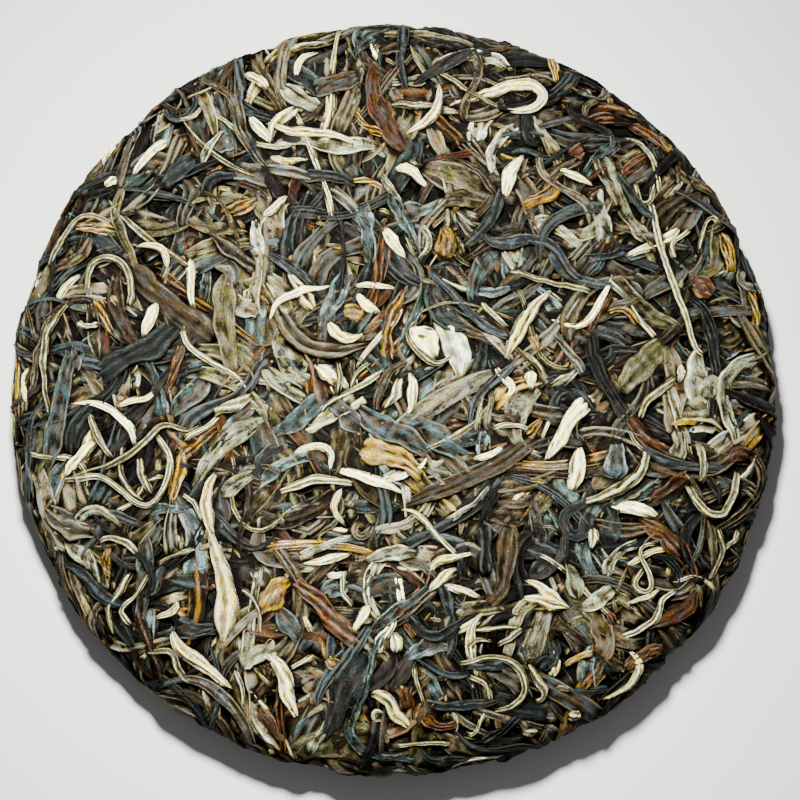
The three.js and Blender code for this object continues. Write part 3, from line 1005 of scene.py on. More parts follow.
def smooth_line(points):
    """A smooth line through points, with its length, in even steps."""
    points = np.array(points, float)
    padded = np.vstack([2 * points[0] - points[1], points, 2 * points[-1] - points[-2]])
    fine = []
    for a, b, c, d in zip(padded, padded[1:], padded[2:], padded[3:]):
        ahead, bend, swerve = c - a, 2 * a - 5 * b + 4 * c - d, 3 * b - a - 3 * c + d
        for t in np.linspace(0, 1, CURVE_STEPS, endpoint=False):
            fine.append(0.5 * (2 * b + ahead * t + bend * t**2 + swerve * t**3))
    fine = np.array([*fine, points[-1]])
    length = walked(fine)[-1]
    rings = int(np.clip(round(length / LINE_SPACING) + 1, *LINE_RINGS))
    return evened(fine, rings), length


def drawn(chance, value):
    """A number as it is, or one from between the two of a pair."""
    return chance.uniform(*value) if isinstance(value, tuple) else value


def wave(along, chance, low, high):
    """A factor that wavers about 1 along a leaf."""
    total = np.zeros_like(along)
    for pace in WAVE_PACES:
        share, phase = chance.uniform(*PACE_SHARES), chance.uniform(0, math.tau)
        total += np.sin(math.tau * along * pace * share + phase) / pace
    return 1 + chance.uniform(low, high) * total / WAVE_HEIGHT


def tapered(along, chance, tapers, tips):
    """Share of the full width along a leaf: each end is torn off or drawn out by its own amount."""
    full = np.ones_like(along)
    for gone in (along, 1 - along):
        tip = chance.uniform(*tips)
        full -= (1 - tip) * (1 - np.sin(math.pi / 2 * np.clip(gone / chance.uniform(*tapers), 0, 1)))
    return full


def rolled_edges(t, chance, most):
    """Edges that curl up into a narrow roll, each by its own amount."""
    left, right = (chance.uniform(0, most) for _ in range(2))
    left = left * np.exp(-(((t + ROLL_PLACE) / ROLL_REACH) ** 2))
    return left + right * np.exp(-(((t - ROLL_PLACE) / ROLL_REACH) ** 2))


def dented(along, t, length, width, chance):
    """Small dents over a leaf, about 1 high."""
    total = 0
    for _ in range(DENT_WAVES):
        pace = math.tau / chance.uniform(*DENT_LENGTHS)
        way = chance.uniform(0, math.pi)
        place = along[:, None] * length * math.cos(way) + t * width / 2 * math.sin(way)
        total = total + np.sin(pace * place + chance.uniform(0, math.tau))
    return total / DENT_WAVES


def section_of(style, width, length, rings, top_count, chance):
    """Columns, half widths left and right, heights over the columns, folds from 0 to 1, and tilt, by ring."""
    form = STYLES[style]
    flat = style in ("blade", "twisted")
    along = np.linspace(0, 1, rings)
    columns = np.append(np.sin(np.linspace(-math.pi / 2, math.pi / 2, top_count)), UNDER_COLUMNS)
    t = columns[None, :]
    dome = np.sqrt(1 - t**2)
    skew = along ** chance.uniform(*SKEWS)
    if style == "stem":
        full = STEM_ENDS + STEM_SWELL * np.sin(math.pi * (STEM_START + STEM_SPAN * skew)) ** 0.5
    else:
        full = tapered(skew, chance, form["tapers"], form["tips"])
    if not flat:
        full = full * wave(along, chance, *form["waver"])
    arch, ridge, ridges, turns = (drawn(chance, form[key]) for key in ("arch", "ridge", "ridges", "turns"))
    edges = 0
    if flat:
        edges = rolled_edges(t, chance, form["roll"])
        full = full * wave(along, chance, *form["waver"])
    left, right = (width / 2 * full * wave(along, chance, *EDGE_WAVER) for _ in range(2))

    phase = chance.uniform(0, math.tau)
    sway = phase + turns * math.pi * along[:, None] + RIDGE_SWAY * (wave(along, chance, 1, 1)[:, None] - 1)
    folds = np.cos(math.pi * ridges * t + sway)
    folds = np.where(folds > 0, folds, HOLLOW_SHARE * folds)
    relief = ridge * folds * dome**RIDGE_FADE + edges * dome**EDGE_FADE
    relief = relief + form["crumple"] * dented(along, t, length, width, chance) * dome**EDGE_FADE
    if style == "blade":
        crease = chance.uniform(*CREASE_PLACES) + CREASE_SWAY * np.sin(math.tau * along + phase)
        depth = chance.uniform(*CREASE_DEPTHS)
        relief = relief - depth * np.exp(-(((t - crease[:, None]) / CREASE_REACH) ** 2))

    thick = np.minimum(width * full, MOST_THICK)[:, None]
    over = thick * (arch * dome + relief) + (LEAST_OVER + OVER_SHARE * thick) * dome
    under = -LEAST_UNDER - UNDER_SHARE * thick * dome + np.minimum(thick * arch * dome, 0)
    is_top = np.arange(len(columns))[None, :] < top_count
    heights = np.where(is_top, over, under)
    heights[[0, -1], :top_count] = END_HEIGHT
    # The fold value paints shade in the folds and highlight on the crests, and shade on the underside.
    fold = np.where(is_top, 0.5 + relief / form["fold_range"], UNDER_FOLD).clip(0, 1)

    lean = math.radians(chance.gauss(0, form["lean"]))
    twist = math.radians(chance.gauss(0, TWIST_SHARE * form["lean"]))
    sway = math.radians(form["lean"] / 2) * (wave(along, chance, 0.5, 1) - 1)
    return columns, left, right, heights, fold, lean + twist * (along - 0.5) + sway


class Skin:
    """The closed skin of one leaf. grid is rings by columns by 3, in mm."""

    def __init__(self, grid, columns, fold, width, length, lie, chance, vary):
        self.grid = grid
        self.columns = columns
        self.fold = fold
        streaked, plain = CALM_WIDTHS
        self.calm = min(max((width - streaked) / (plain - streaked), 0), 1)
        self.length = length
        self.lie = lie
        self.tint = 0.5 + vary * (chance.random() - 0.5)
        self.wear = 0.5 + vary * (chance.random() - 0.5)

    def marks(self, pile):
        """Values for each point.

        They are the share of the width, the fold, two that differ from leaf to leaf, how proud the point
        stands, how deep it lies, how plain the leaf is, and 1.
        """
        # The share of the width, the fold, how proud and how deep drive painted highlight and painted shade
        # in the skin.
        over, under = pile.proud(*self.lie)
        rings, top_count = over.shape
        over, under = (np.column_stack([part, part[:, [top_count // 2] * 2]]) for part in (over, under))
        across = np.broadcast_to((self.columns + 1) / 2, self.fold.shape)
        proud = (0.5 + over / PROUD_RANGE).clip(0, 1)
        deep = (under / DEEP_RANGE).clip(0, 1)
        shape = self.fold.shape
        tint, wear, calm, last = (np.full(shape, part) for part in (self.tint, self.wear, self.calm, 1))
        return np.stack([across, self.fold, tint, wear, proud, deep, calm, last], axis=-1).reshape(-1, 8)


class Leafage:
    """Collects the closed skins of many leaves for one mesh."""

    # Gap between two strips on their map in mm, spare room on its page, and how far fibres shift by leaf
    STRIP_GAP = 0.5
    PAGE_SLACK = 1.04
    FIBRE_SHIFTS = (900, 700)

    def __init__(self, name, look):
        self.name = name
        self.look = look
        self.skins = []

    def add(self, skin):
        self.skins.append(skin)

    def build(self, pile):
        """The mesh of all leaves, with their values as two colours for each point, and two maps."""
        points, quads, triangles, charts, marks = [], [], [], [], []
        base = 0
        for skin in self.skins:
            rings, columns = skin.grid.shape[:2]
            girth = np.linalg.norm(np.roll(skin.grid, -1, axis=1) - skin.grid, axis=2).mean(0)
            across = np.append(0, np.cumsum(girth))
            lengthwise = np.linspace(0, skin.length, rings)
            ring, column = np.meshgrid(np.arange(rings - 1), np.arange(columns), indexing="ij")
            corner_rings = np.stack([ring, ring, ring + 1, ring + 1], axis=-1).reshape(-1, 4)
            corner_columns = np.stack([column, column + 1, column + 1, column], axis=-1).reshape(-1, 4)
            quads.append(base + corner_rings * columns + corner_columns % columns)
            strip = np.stack([lengthwise[corner_rings], across[corner_columns]], axis=-1)
            cap = cap_columns(columns - len(UNDER_COLUMNS))
            cap_corners = np.concatenate([cap[:, ::-1], cap])
            cap_rings = np.repeat((0, rings - 1), len(cap))[:, None] + np.zeros_like(cap_corners)
            triangles.append(base + cap_rings * columns + cap_corners)
            caps = np.stack([lengthwise[cap_rings], across[cap_corners]], axis=-1)
            points.append(skin.grid.reshape(-1, 3))
            charts.append(((strip, caps), skin.length, across[-1], skin.tint, skin.wear))
            marks.append(skin.marks(pile))
            base += rings * columns
        mesh = bpy.data.meshes.new(self.name)
        mesh_from(mesh, np.concatenate(points) * MM, np.concatenate(quads), np.concatenate(triangles))
        self.write_maps(mesh, charts)
        for name, column in (("leaf", slice(0, 4)), ("lie", slice(4, 8))):
            layer = mesh.attributes.new(name, "FLOAT_COLOR", "POINT")
            values = np.concatenate([mark[:, column] for mark in marks])
            layer.data.foreach_set("color", values.reshape(-1).astype(np.float32))
        return mesh

    def write_maps(self, mesh, charts):
        """A map in leaf lengths and widths for the fibres, and a map on which no two leaves overlap."""
        total = sum((length + self.STRIP_GAP) * (girth + self.STRIP_GAP) for _, length, girth, *_ in charts)
        widest = max(length for _, length, *_ in charts) + self.STRIP_GAP
        page = max(widest, math.sqrt(total * self.PAGE_SLACK))
        order = sorted(range(len(charts)), key=lambda i: -charts[i][2])
        corner = {}
        x = y = row = 0.0
        for i in order:
            _, length, girth, *_ = charts[i]
            if x + length + self.STRIP_GAP > page:
                x, y, row = 0.0, y + row, 0.0
            corner[i] = (x + self.STRIP_GAP / 2, y + self.STRIP_GAP / 2)
            x += length + self.STRIP_GAP
            row = max(row, girth + self.STRIP_GAP)
        page = max(page, y + row)
        packed, fibres = [], []
        for part in (0, 1):
            for i, (uvs, _, _, tint, wear) in enumerate(charts):
                uv = uvs[part].reshape(-1, 2)
                packed.append((uv + corner[i]) / page)
                fibres.append(uv + np.multiply((tint, wear), self.FIBRE_SHIFTS))
        for name, maps in (("OFBake", packed), ("fibre", fibres)):
            layer = mesh.uv_layers.new(name=name)
            layer.uv.foreach_set("vector", np.concatenate(maps).reshape(-1).astype(np.float32))


def cap_columns(top_count):
    """Columns of the triangles that close the end of a strip."""
    middle = top_count // 2
    fan = [(i, i + 1, top_count + (i < middle)) for i in range(top_count - 1)]
    return np.array([*fan, (middle, top_count, top_count + 1)])


def mesh_from(mesh, points, quads, triangles):
    """Fills a mesh with points and faces, shaded smooth."""
    corners = np.concatenate([quads.reshape(-1), triangles.reshape(-1)])
    sides = np.repeat((4, 3), (len(quads), len(triangles)))
    mesh.vertices.add(len(points))
    mesh.vertices.foreach_set("co", points.reshape(-1).astype(np.float32))
    mesh.loops.add(len(corners))
    mesh.loops.foreach_set("vertex_index", corners.astype(np.int32))
    mesh.polygons.add(len(sides))
    mesh.polygons.foreach_set("loop_start", (np.cumsum(sides) - sides).astype(np.int32))
    mesh.update(calc_edges=True)
    mesh.validate()
    mesh.shade_smooth()


class Layer:
    """Lays leaves on the pile and hands their skins to the kinds' collections."""

    def __init__(self, surface, pile, chance):
        self.surface = surface
        self.pile = pile
        self.chance = chance

    def lay(self, leafage, style, width, length, route, top_count, press, tuck=1.0, vary=1.0):
        """Drapes one leaf over the pile along a route, adds it to the pile, and hands on its skin."""
        chance = self.chance
        points, outs, index = route
        rings = len(points)
        ahead = np.gradient(points, axis=0)
        side = np.cross(outs, ahead)
        side /= np.linalg.norm(side, axis=1, keepdims=True)
        section = section_of(style, width, length, rings, top_count, chance)
        columns, left, right, heights, fold, tilt = section
        reach = np.where(columns[None, :] < 0, left[:, None], right[:, None]) * columns[None, :]
        across = reach * np.cos(tilt)[:, None] - heights * np.sin(tilt)[:, None]
        up = reach * np.sin(tilt)[:, None] + heights * np.cos(tilt)[:, None]

        spin = points[:, :2] / np.maximum(np.hypot(points[:, 0], points[:, 1]), 1e-6)[:, None]
        runs = turned(spin, self.surface.run, index)
        spots = points[:, None] + side[:, None] * across[:, :top_count, None]
        gone = self.pile.gone_at(spots, runs, points, index)
        angle = np.arctan2(spots[..., 1], spots[..., 0])
        ground = self.pile.read(gone, angle)

        thickness = heights[:, :top_count].max(1)
        support = np.sort(ground, axis=1)[:, -1 - top_count // 3]
        lift = eased(bridged(support, 1), 2)
        soft = eased(eased(ground, 2).T, 1).T
        drape = lift[:, None] + STYLES[style]["softness"] * (soft - lift[:, None]).clip(*DRAPE_LIMITS)
        along = np.linspace(0, 1, rings)
        for end in (along, 1 - along):
            sunk = chance.uniform(*TUCK_DEPTHS) * tuck
            drape = drape - (sunk * np.clip(1 - end / TUCK_REACH, 0, 1) ** TUCK_POWER)[:, None]
        room = self.pile.ceiling[index] * press - BODY_SHARE * thickness
        room = np.maximum(room, LEAST_ROOM)[:, None]
        drape = eased(room * np.tanh(np.maximum(drape, LOWEST_DRAPE) / room), 1)
        below = [abs(columns[:top_count] - share).argmin() for share in UNDER_COLUMNS]
        drape = np.column_stack([drape, drape[:, below]])

        heights_up = drape + up
        whole = np.clip((np.minimum(along, 1 - along) - LOOSE_END) / LOOSE_BLEND, 0, 1)[:, None]
        pierced = np.maximum(ground + CLEARANCE - heights_up[:, :top_count], 0)
        heights_up[:, :top_count] += whole * np.maximum(pierced, eased(pierced, 1))
        grid = points[:, None] + side[:, None] * across[..., None] + outs[:, None] * heights_up[..., None]
        grid[..., 2] = np.maximum(grid[..., 2], FLOOR_GAP + FLOOR_SPREAD * chance.random())

        lie = (gone, np.unwrap(angle), heights_up[:, :top_count])
        self.pile.add(*(finer(finer(part, 3).T, 2).T for part in lie))
        leafage.add(Skin(grid, columns, fold, width, length, lie, chance, vary))


def pick_kind(chance, layer_number, middle):
    """A kind by the shares of its layer, mixed with those of the middle of the face."""
    shares = [look["shares"] for look in KINDS.values()]
    weights = [row[layer_number] + middle * (row[-1] - row[layer_number]) for row in shares]
    return chance.choices(list(KINDS), weights)[0]


def lay_by_rule(layer, kinds, drift, count, layer_number, rings, top_count, press):
    """Leaves spread over the whole cake by the golden angle, so that no place is left bare."""
    shares = (np.arange(count) + 0.5) / count
    start = np.searchsorted(layer.surface.area, shares)
    scatter = many(count, layer.chance.uniform, -ANGLE_SCATTER, ANGLE_SCATTER)
    angle = np.arange(count) * GOLDEN_ANGLE + scatter
    lay_at(layer, kinds, drift, start, angle, layer_number, rings, top_count, press)


def lay_gaps(layer, kinds, drift, rounds):
    """Leaves over the places that the bed still leaves bare."""
    for count in rounds:
        start, angle = layer.pile.bare(layer.chance, count, BARE_HEIGHT)
        lay_at(layer, kinds, drift, start, angle, 0, GAP_RINGS, PLAIN_TOP, BED_PRESS)


def lay_at(layer, kinds, drift, start, angle, layer_number, rings, top_count, press):
    """Leaves of kinds picked by chance, with their middles at samples and angles."""
    surface, chance = layer.surface, layer.chance
    count = len(start)
    r = surface.line[start, 0]
    middle = layer_number * (start < surface.rim) * np.exp(-((r / MIDDLE_REACH) ** 2))
    names = [pick_kind(chance, layer_number, share) for share in middle]
    styles = [KINDS[name]["style"] for name in names]
    near_rim = np.exp(-(((start - surface.rim) * surface.step / RIM_REACH) ** 2))
    scatter = many(count, chance.gauss, 0, RULE_SCATTER)
    heading = drift.at(r * np.cos(angle), r * np.sin(angle)) + scatter
    heading = math.pi / 2 + (heading % math.tau - math.pi) * (1 - RIM_TURN * near_rim)
    length = np.array([chance.uniform(*STYLES[style]["lengths"]) for style in styles])
    bend = sinuous(count, rings, RULE_BEND, chance)
    routes = surface.walk(start, angle, heading, length, bend, rings)
    widths = [chance.uniform(*STYLES[style]["widths"]) for style in styles]
    ranks = [
        STYLES[style]["order"] - WIDTH_LEAD * width + chance.uniform(0, ORDER_SCATTER)
        for style, width in zip(styles, widths)
    ]
    for i in sorted(range(count), key=ranks.__getitem__):
        route = [part[i] for part in routes]
        layer.lay(kinds[names[i]], styles[i], widths[i], length[i], route, top_count, press)


def sinuous(count, rings, most, chance):
    """Turns at each ring for many leaves: a steady bend with a sway on top."""
    along = np.linspace(0, 1, rings - 1)
    steady = many(count, chance.gauss, 0, STEADY_SHARE * most)[:, None]
    sway = many(count, chance.gauss, 0, most)[:, None]
    phase = many(count, chance.uniform, 0, math.tau)[:, None]
    pace = many(count, chance.uniform, *SWAY_PACES)[:, None]
    return (steady + 2 * sway * np.sin(math.tau * pace * along + phase)) / (rings - 1)


def wide_places(layer):
    """Points along the middle lines of the widest placed leaves."""
    lines = [
        placed_line(layer, points)[0]
        for rows in FACE_LEAVES.values()
        for width, *points in rows
        if width >= WIDE_LEAF
    ]
    return np.concatenate(lines)


def lay_strays(layer, kinds, drift, count):
    """Thin dark strips over the face, which bind the pale leaves in but spare the widest."""
    surface, chance = layer.surface, layer.chance
    count *= STRAY_TRIES
    start = np.searchsorted(surface.area, many(count, chance.random))
    angle = many(count, chance.uniform, 0, math.tau)
    r = surface.line[start, 0]
    scatter = many(count, chance.gauss, 0, STRAY_SCATTER)
    heading = drift.at(r * np.cos(angle), r * np.sin(angle)) + scatter
    length = many(count, chance.uniform, *STRAY_LENGTHS)
    bend = sinuous(count, STRAY_RINGS, STRAY_BEND, chance)
    routes = surface.walk(start, angle, heading, length, bend, STRAY_RINGS)
    spared = wide_places(layer)
    gaps = np.hypot(*(routes[0][:, :, None, axis] - spared[:, axis] for axis in (0, 1))).min((1, 2))
    gaps[routes[0][:, :, 2].min(1) < surface.line[surface.rim, 1]] = math.inf
    for i in np.flatnonzero(gaps > SPARED_REACH)[: count // STRAY_TRIES]:
        route = [part[i] for part in routes]
        leafage, width = kinds[chance.choice(STRAY_KINDS)], chance.uniform(*STRAY_WIDTHS)
        layer.lay(leafage, "twisted", width, length[i], route, PLAIN_TOP, FACE_PRESS)


def lay_bits(layer, leafage, count, press):
    """Broken bits anywhere on the cake."""
    surface, chance = layer.surface, layer.chance
    start = np.searchsorted(surface.area, many(count, chance.random))
    angle = many(count, chance.uniform, 0, math.tau)
    heading = many(count, chance.uniform, 0, math.tau)
    length = many(count, chance.uniform, *BIT_LENGTHS)
    bend = sinuous(count, BIT_RINGS, BIT_BEND, chance)
    routes = surface.walk(start, angle, heading, length, bend, BIT_RINGS)
    for i in range(count):
        route, width = [part[i] for part in routes], chance.uniform(*BIT_WIDTHS)
        layer.lay(leafage, "twisted", width, length[i], route, COARSE_TOP, press, tuck=BIT_TUCK)


def wobble(count, length, chance):
    """Small sideways sways of a middle line, in mm."""
    at = np.linspace(0, length, count)[:, None]
    pace = many(2, chance.uniform, *WOBBLE_PACES)
    phase = many(2, chance.uniform, 0, math.tau)
    return WOBBLE * np.sin(at * pace + phase)


def placed_line(layer, points):
    """Middle line and length of a placed leaf, moved along the lines of sight to where it stands."""
    surface, ceiling = layer.surface, layer.pile.ceiling
    line, length = smooth_line(points)
    line[1:-1] = eased(line, 3)[1:-1]
    across, up = (line * READ_SCALE + READ_MIDDLE).T
    low, high = math.cos(VIEW_ELEVATION), math.sin(VIEW_ELEVATION)
    eye = np.array(VIEW_TARGET) + VIEW_DISTANCE * np.array([0, -low, high])
    sight = VIEW_TARGET + np.column_stack([across, up * high, up * low]) - eye
    height, push = surface.line[surface.rim, 1], 0
    for _ in range(READ_ROUNDS):
        seen = eye + sight * ((height - eye[2]) / sight[:, 2])[:, None]
        foot = seen[:, :2] - push
        at, out, _, index = surface.settle(np.column_stack([foot, surface.top_height(*foot.T)]))
        lift = READ_LIFT * ceiling[index][:, None]
        height, push = at[:, 2] + out[:, 2] * lift[:, 0], out[:, :2] * lift
    return foot, length


def lay_face(layer, kinds, styles):
    """The placed leaves of some styles, the widest first, but pale ones as if they were narrower."""
    surface = layer.surface
    leaves = [
        (width, name, points)
        for name, rows in FACE_LEAVES.items()
        if KINDS[name]["style"] in styles
        for width, *points in rows
    ]
    for width, name, points in sorted(leaves, key=lambda leaf: PALE_OVER.get(leaf[1], 0) - leaf[0]):
        style = KINDS[name]["style"]
        line, length = placed_line(layer, points)
        line += wobble(len(line), length, layer.chance)
        spots = np.column_stack([line, surface.top_height(line[:, 0], line[:, 1])])
        at, out, _, index = surface.settle(spots)
        route = (at, out, index)
        layer.lay(
            kinds[name], style, width, length, route, FINE_TOP, FACE_PRESS, tuck=PLACED_TUCK, vary=PLACED_VARY
        )


def colour(text):
    """Linear colour with alpha from a #rrggbb screen colour."""
    parts = [int(text[i : i + 2], 16) / 255 for i in (1, 3, 5)]
    return (*(p / 12.92 if p <= 0.04045 else ((p + 0.055) / 1.055) ** 2.4 for p in parts), 1)


class Nodes:
    """Short calls for making and joining nodes."""

    def __init__(self, tree):
        self.tree = tree

    def add(self, kind, values=(), **settings):
        node = self.tree.nodes.new(kind)
        for key, value in settings.items():
            setattr(node, key, value)
        for key, value in dict(values).items():
            if isinstance(value, bpy.types.NodeSocket):
                self.tree.links.new(value, node.inputs[key])
            else:
                node.inputs[key].default_value = value
        return node

    def math(self, operation, a, b=0.0):
        return self.add("ShaderNodeMath", {0: a, 1: b}, operation=operation).outputs[0]

    def ranged(self, value, low, high, to_low=0.0, to_high=1.0):
        inputs = {"Value": value, "From Min": low, "From Max": high, "To Min": to_low, "To Max": to_high}
        return self.add("ShaderNodeMapRange", inputs, interpolation_type="SMOOTHSTEP").outputs[0]

    def mix(self, share, a, b):
        """Mixes two colours, which are inputs 6 and 7 of the node and its output 2."""
        node = self.add("ShaderNodeMix", {0: share, 6: a, 7: b}, data_type="RGBA")
        return node.outputs[2]

    def tinted(self, color, factors):
        inputs = {0: color, 1: factors}
        return self.add("ShaderNodeVectorMath", inputs, operation="MULTIPLY").outputs[0]

    def times(self, first, *others):
        for value in others:
            first = self.math("MULTIPLY", first, value)
        return first

    def total(self, first, *others):
        for value in others:
            first = self.math("ADD", first, value)
        return first

    def stretched(self, vector, scale):
        return self.add("ShaderNodeMapping", {"Vector": vector, "Scale": scale}).outputs[0]

    def swing(self, value, amount):
        """A value from 0 to 1 as a swing about 0."""
        return self.math("MULTIPLY", self.math("SUBTRACT", value, 0.5), amount)

    def noise(self, vector, scale, detail=3.0, rough=0.55):
        inputs = {"Vector": vector, "Scale": scale, "Detail": detail, "Roughness": rough}
        return self.add("ShaderNodeTexNoise", inputs).outputs[0]


def leaf_skin_group():
    """Colour, roughness and relief of a dried leaf: its own streaks, fibres and stains, pale edges that are
    partly dry edges and partly painted highlight, painted highlight on the crests, and painted shade in the
    folds, in hollows, under covering leaves and along the edges.
    """
    tree = bpy.data.node_groups.new("Leaf Skin", "ShaderNodeTree")
    face = tree.interface
    for name in SKIN_COLOURS:
        face.new_socket(name, in_out="INPUT", socket_type="NodeSocketColor")
    for name, default in SKIN_NUMBERS.items():
        socket = face.new_socket(name, in_out="INPUT", socket_type="NodeSocketFloat")
        socket.default_value = default
    for name, kind in (("Color", "Color"), ("Roughness", "Float"), ("Relief", "Float")):
        face.new_socket(name, in_out="OUTPUT", socket_type="NodeSocket" + kind)
    n = Nodes(tree)
    given = n.add("NodeGroupInput").outputs
    fibre_map = n.add("ShaderNodeUVMap", uv_map="fibre").outputs["UV"]
    leaf = n.add("ShaderNodeAttribute", attribute_name="leaf").outputs
    split = n.add("ShaderNodeSeparateColor", {0: leaf["Color"]}).outputs
    across, fold, tint, wear = split[0], split[1], split[2], leaf["Alpha"]
    lie = n.add("ShaderNodeAttribute", attribute_name="lie").outputs["Color"]
    proud, deep, calm = n.add("ShaderNodeSeparateColor", {0: lie}).outputs[:3]

    lengthwise = n.stretched(fibre_map, (0.18, 1, 1))
    streaks = n.noise(lengthwise, 2.3, 4.0, 0.65)
    fibres = n.noise(lengthwise, 4.0, 3.0, 0.7)
    patches = n.noise(n.stretched(fibre_map, (0.6, 1, 1)), 0.36, 4.0, 0.6)
    hues = n.noise(n.stretched(fibre_map, (0.5, 1, 0.7)), 0.5, 3.0, 0.55)
    mottle = n.noise(fibre_map, 2.0, 4.0, 0.7)
    glints = n.noise(n.stretched(fibre_map, (0.4, 1, 1)), 0.8, 3.0, 0.6)

    # Streaks and mottle are the leaf's own marks; the fold adds painted shade in the folds and painted
    # highlight on the crests.
    markings_and_fold_light = n.total(n.swing(streaks, 1.25), n.swing(mottle, 1.15), n.swing(fold, 0.65))
    markings_and_fold_light = n.times(markings_and_fold_light, n.ranged(calm, 0.0, 1.0, 1.0, 0.66))
    # How proud a place stands paints light on what stands out and painted shade on what is sunk.
    tone_and_shade = n.total(markings_and_fold_light, n.swing(tint, 0.5), n.swing(proud, 0.6))
    stain = n.total(n.swing(patches, 1.0), n.swing(wear, 0.3))
    base = n.mix(n.ranged(tone_and_shade, -0.24, 0.1), given["Deep"], given["Body"])
    base = n.mix(n.times(n.ranged(stain, -0.02, 0.2), given["Stain Share"]), base, given["Stain"])
    # The crest colour is partly painted highlight on the crests.
    base = n.mix(n.times(n.ranged(tone_and_shade, 0.1, 0.46), given["Crest Share"]), base, given["Crest"])
    aside = n.math("ABSOLUTE", n.swing(across, 1))
    # A pale rim inside the edges, partly dry edges and partly painted highlight where the edges catch the
    # light.
    torn_and_lit = n.ranged(n.total(n.swing(streaks, 1.2), n.swing(wear, 0.6)), -0.1, 0.15)
    rim = n.times(n.ranged(aside, 0.36, 0.44), torn_and_lit, given["Edge Share"])
    base = n.mix(rim, base, given["Edge"])
    hue = n.total(0.495, n.swing(hues, 0.11), n.swing(tint, 0.02))
    richness = n.total(0.94, n.swing(patches, -1.6), n.swing(hues, 1.2))
    base = n.add("ShaderNodeHueSaturation", {"Hue": hue, "Saturation": richness, "Color": base}).outputs[0]
    # Fibres and wear are the leaf's own; the other factors are painted shade: in hollows, under the leaves
    # that cover a place, and along the edges where the skin turns under.
    grain_and_shade = n.times(
        n.ranged(fibres, 0.3, 0.7, 0.6, 1.3),
        n.ranged(deep, 0.02, 0.5, 1.0, 0.05),
        n.ranged(proud, 0.25, 0.57, 0.07, 1.0),
        n.ranged(wear, 0.0, 1.0, 0.68, 1.3),
        n.ranged(aside, 0.4, 0.5, 1.0, 0.15),
    )
    reddish, bluish = (n.math("POWER", grain_and_shade, power) for power in (RED_POWER, BLUE_POWER))
    grain_and_shade = n.add("ShaderNodeCombineXYZ", {0: reddish, 1: grain_and_shade, 2: bluish}).outputs[0]
    glow = n.mix(n.ranged(glints, 0.4, 0.6), COOL_HUE, WARM_HUE)
    shaded = n.tinted(n.tinted(base, glow), grain_and_shade)
    rough = n.total(given["Roughness"], n.swing(fibres, 0.5))
    relief = n.total(n.times(streaks, 0.6), n.times(fibres, 0.35), n.times(mottle, 0.4))
    n.add("NodeGroupOutput", {"Color": shaded, "Roughness": rough, "Relief": relief})
    return tree


def blank_material(name):
    """A new material, with the inputs of its shader and short calls for its nodes."""
    material = bpy.data.materials.new(name)
    material.use_nodes = True
    tree = material.node_tree
    return material, tree.nodes["Principled BSDF"].inputs, Nodes(tree)


def dress(n, inputs, color, roughness, relief, depth, shine):
    """Joins colour, roughness and relief to the inputs of a shader."""
    bump = n.add("ShaderNodeBump", {"Height": relief, "Strength": RELIEF_STRENGTH, "Distance": depth})
    inputs["Specular IOR Level"].default_value = shine
    for key, value in (("Base Color", color), ("Roughness", roughness), ("Normal", bump.outputs["Normal"])):
        n.tree.links.new(value, inputs[key])


def leaf_material(name, look, group):
    """The skin of one kind of leaf, with down on the buds."""
    material, inputs, n = blank_material(name)
    skin = n.add("ShaderNodeGroup", node_tree=group)
    for key, text in zip(SKIN_COLOURS, look["colours"]):
        skin.inputs[key].default_value = colour(text)
    skin.inputs["Roughness"].default_value = look["rough"]
    color, roughness, relief = (skin.outputs[key] for key in ("Color", "Roughness", "Relief"))
    dress(n, inputs, color, roughness, relief, SKIN_RELIEF, LEAF_SHINE)
    if look["style"] == "bud":
        inputs["Sheen Weight"].default_value = DOWN_SHEEN
        inputs["Sheen Roughness"].default_value = DOWN_ROUGHNESS
    return material


def core_material():
    """Near-black, crumbly mass between and below the leaves: its darkness is painted shade in the gaps."""
    material, inputs, n = blank_material("pressed_core")
    place = n.add("ShaderNodeTexCoord").outputs["Object"]
    clumps = n.noise(place, 160, 4.0, 0.6)
    grains = n.noise(place, 900, 3.0, 0.6)
    # Near-black colours: painted shade in the gaps between the leaves, with paler grains.
    tone_and_shade = n.mix(n.ranged(clumps, 0.35, 0.65), colour("#020202"), colour("#080605"))
    tone_and_shade = n.mix(n.ranged(grains, 0.55, 0.75), tone_and_shade, colour("#16110b"))
    relief = n.total(clumps, n.times(grains, 0.5))
    roughness = n.ranged(grains, 0.2, 0.8, 0.7, 0.95)
    dress(n, inputs, tone_and_shade, roughness, relief, CORE_RELIEF, CORE_SHINE)
    return material


def add_piece(name, mesh, material):
    """Adds a mesh with its material in place of the node, on its body."""
    mesh.materials.append(material)
    piece = bpy.data.objects.new(name, mesh)
    bpy.context.scene.collection.objects.link(piece)
    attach(piece, BODY)
    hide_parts(NODE)


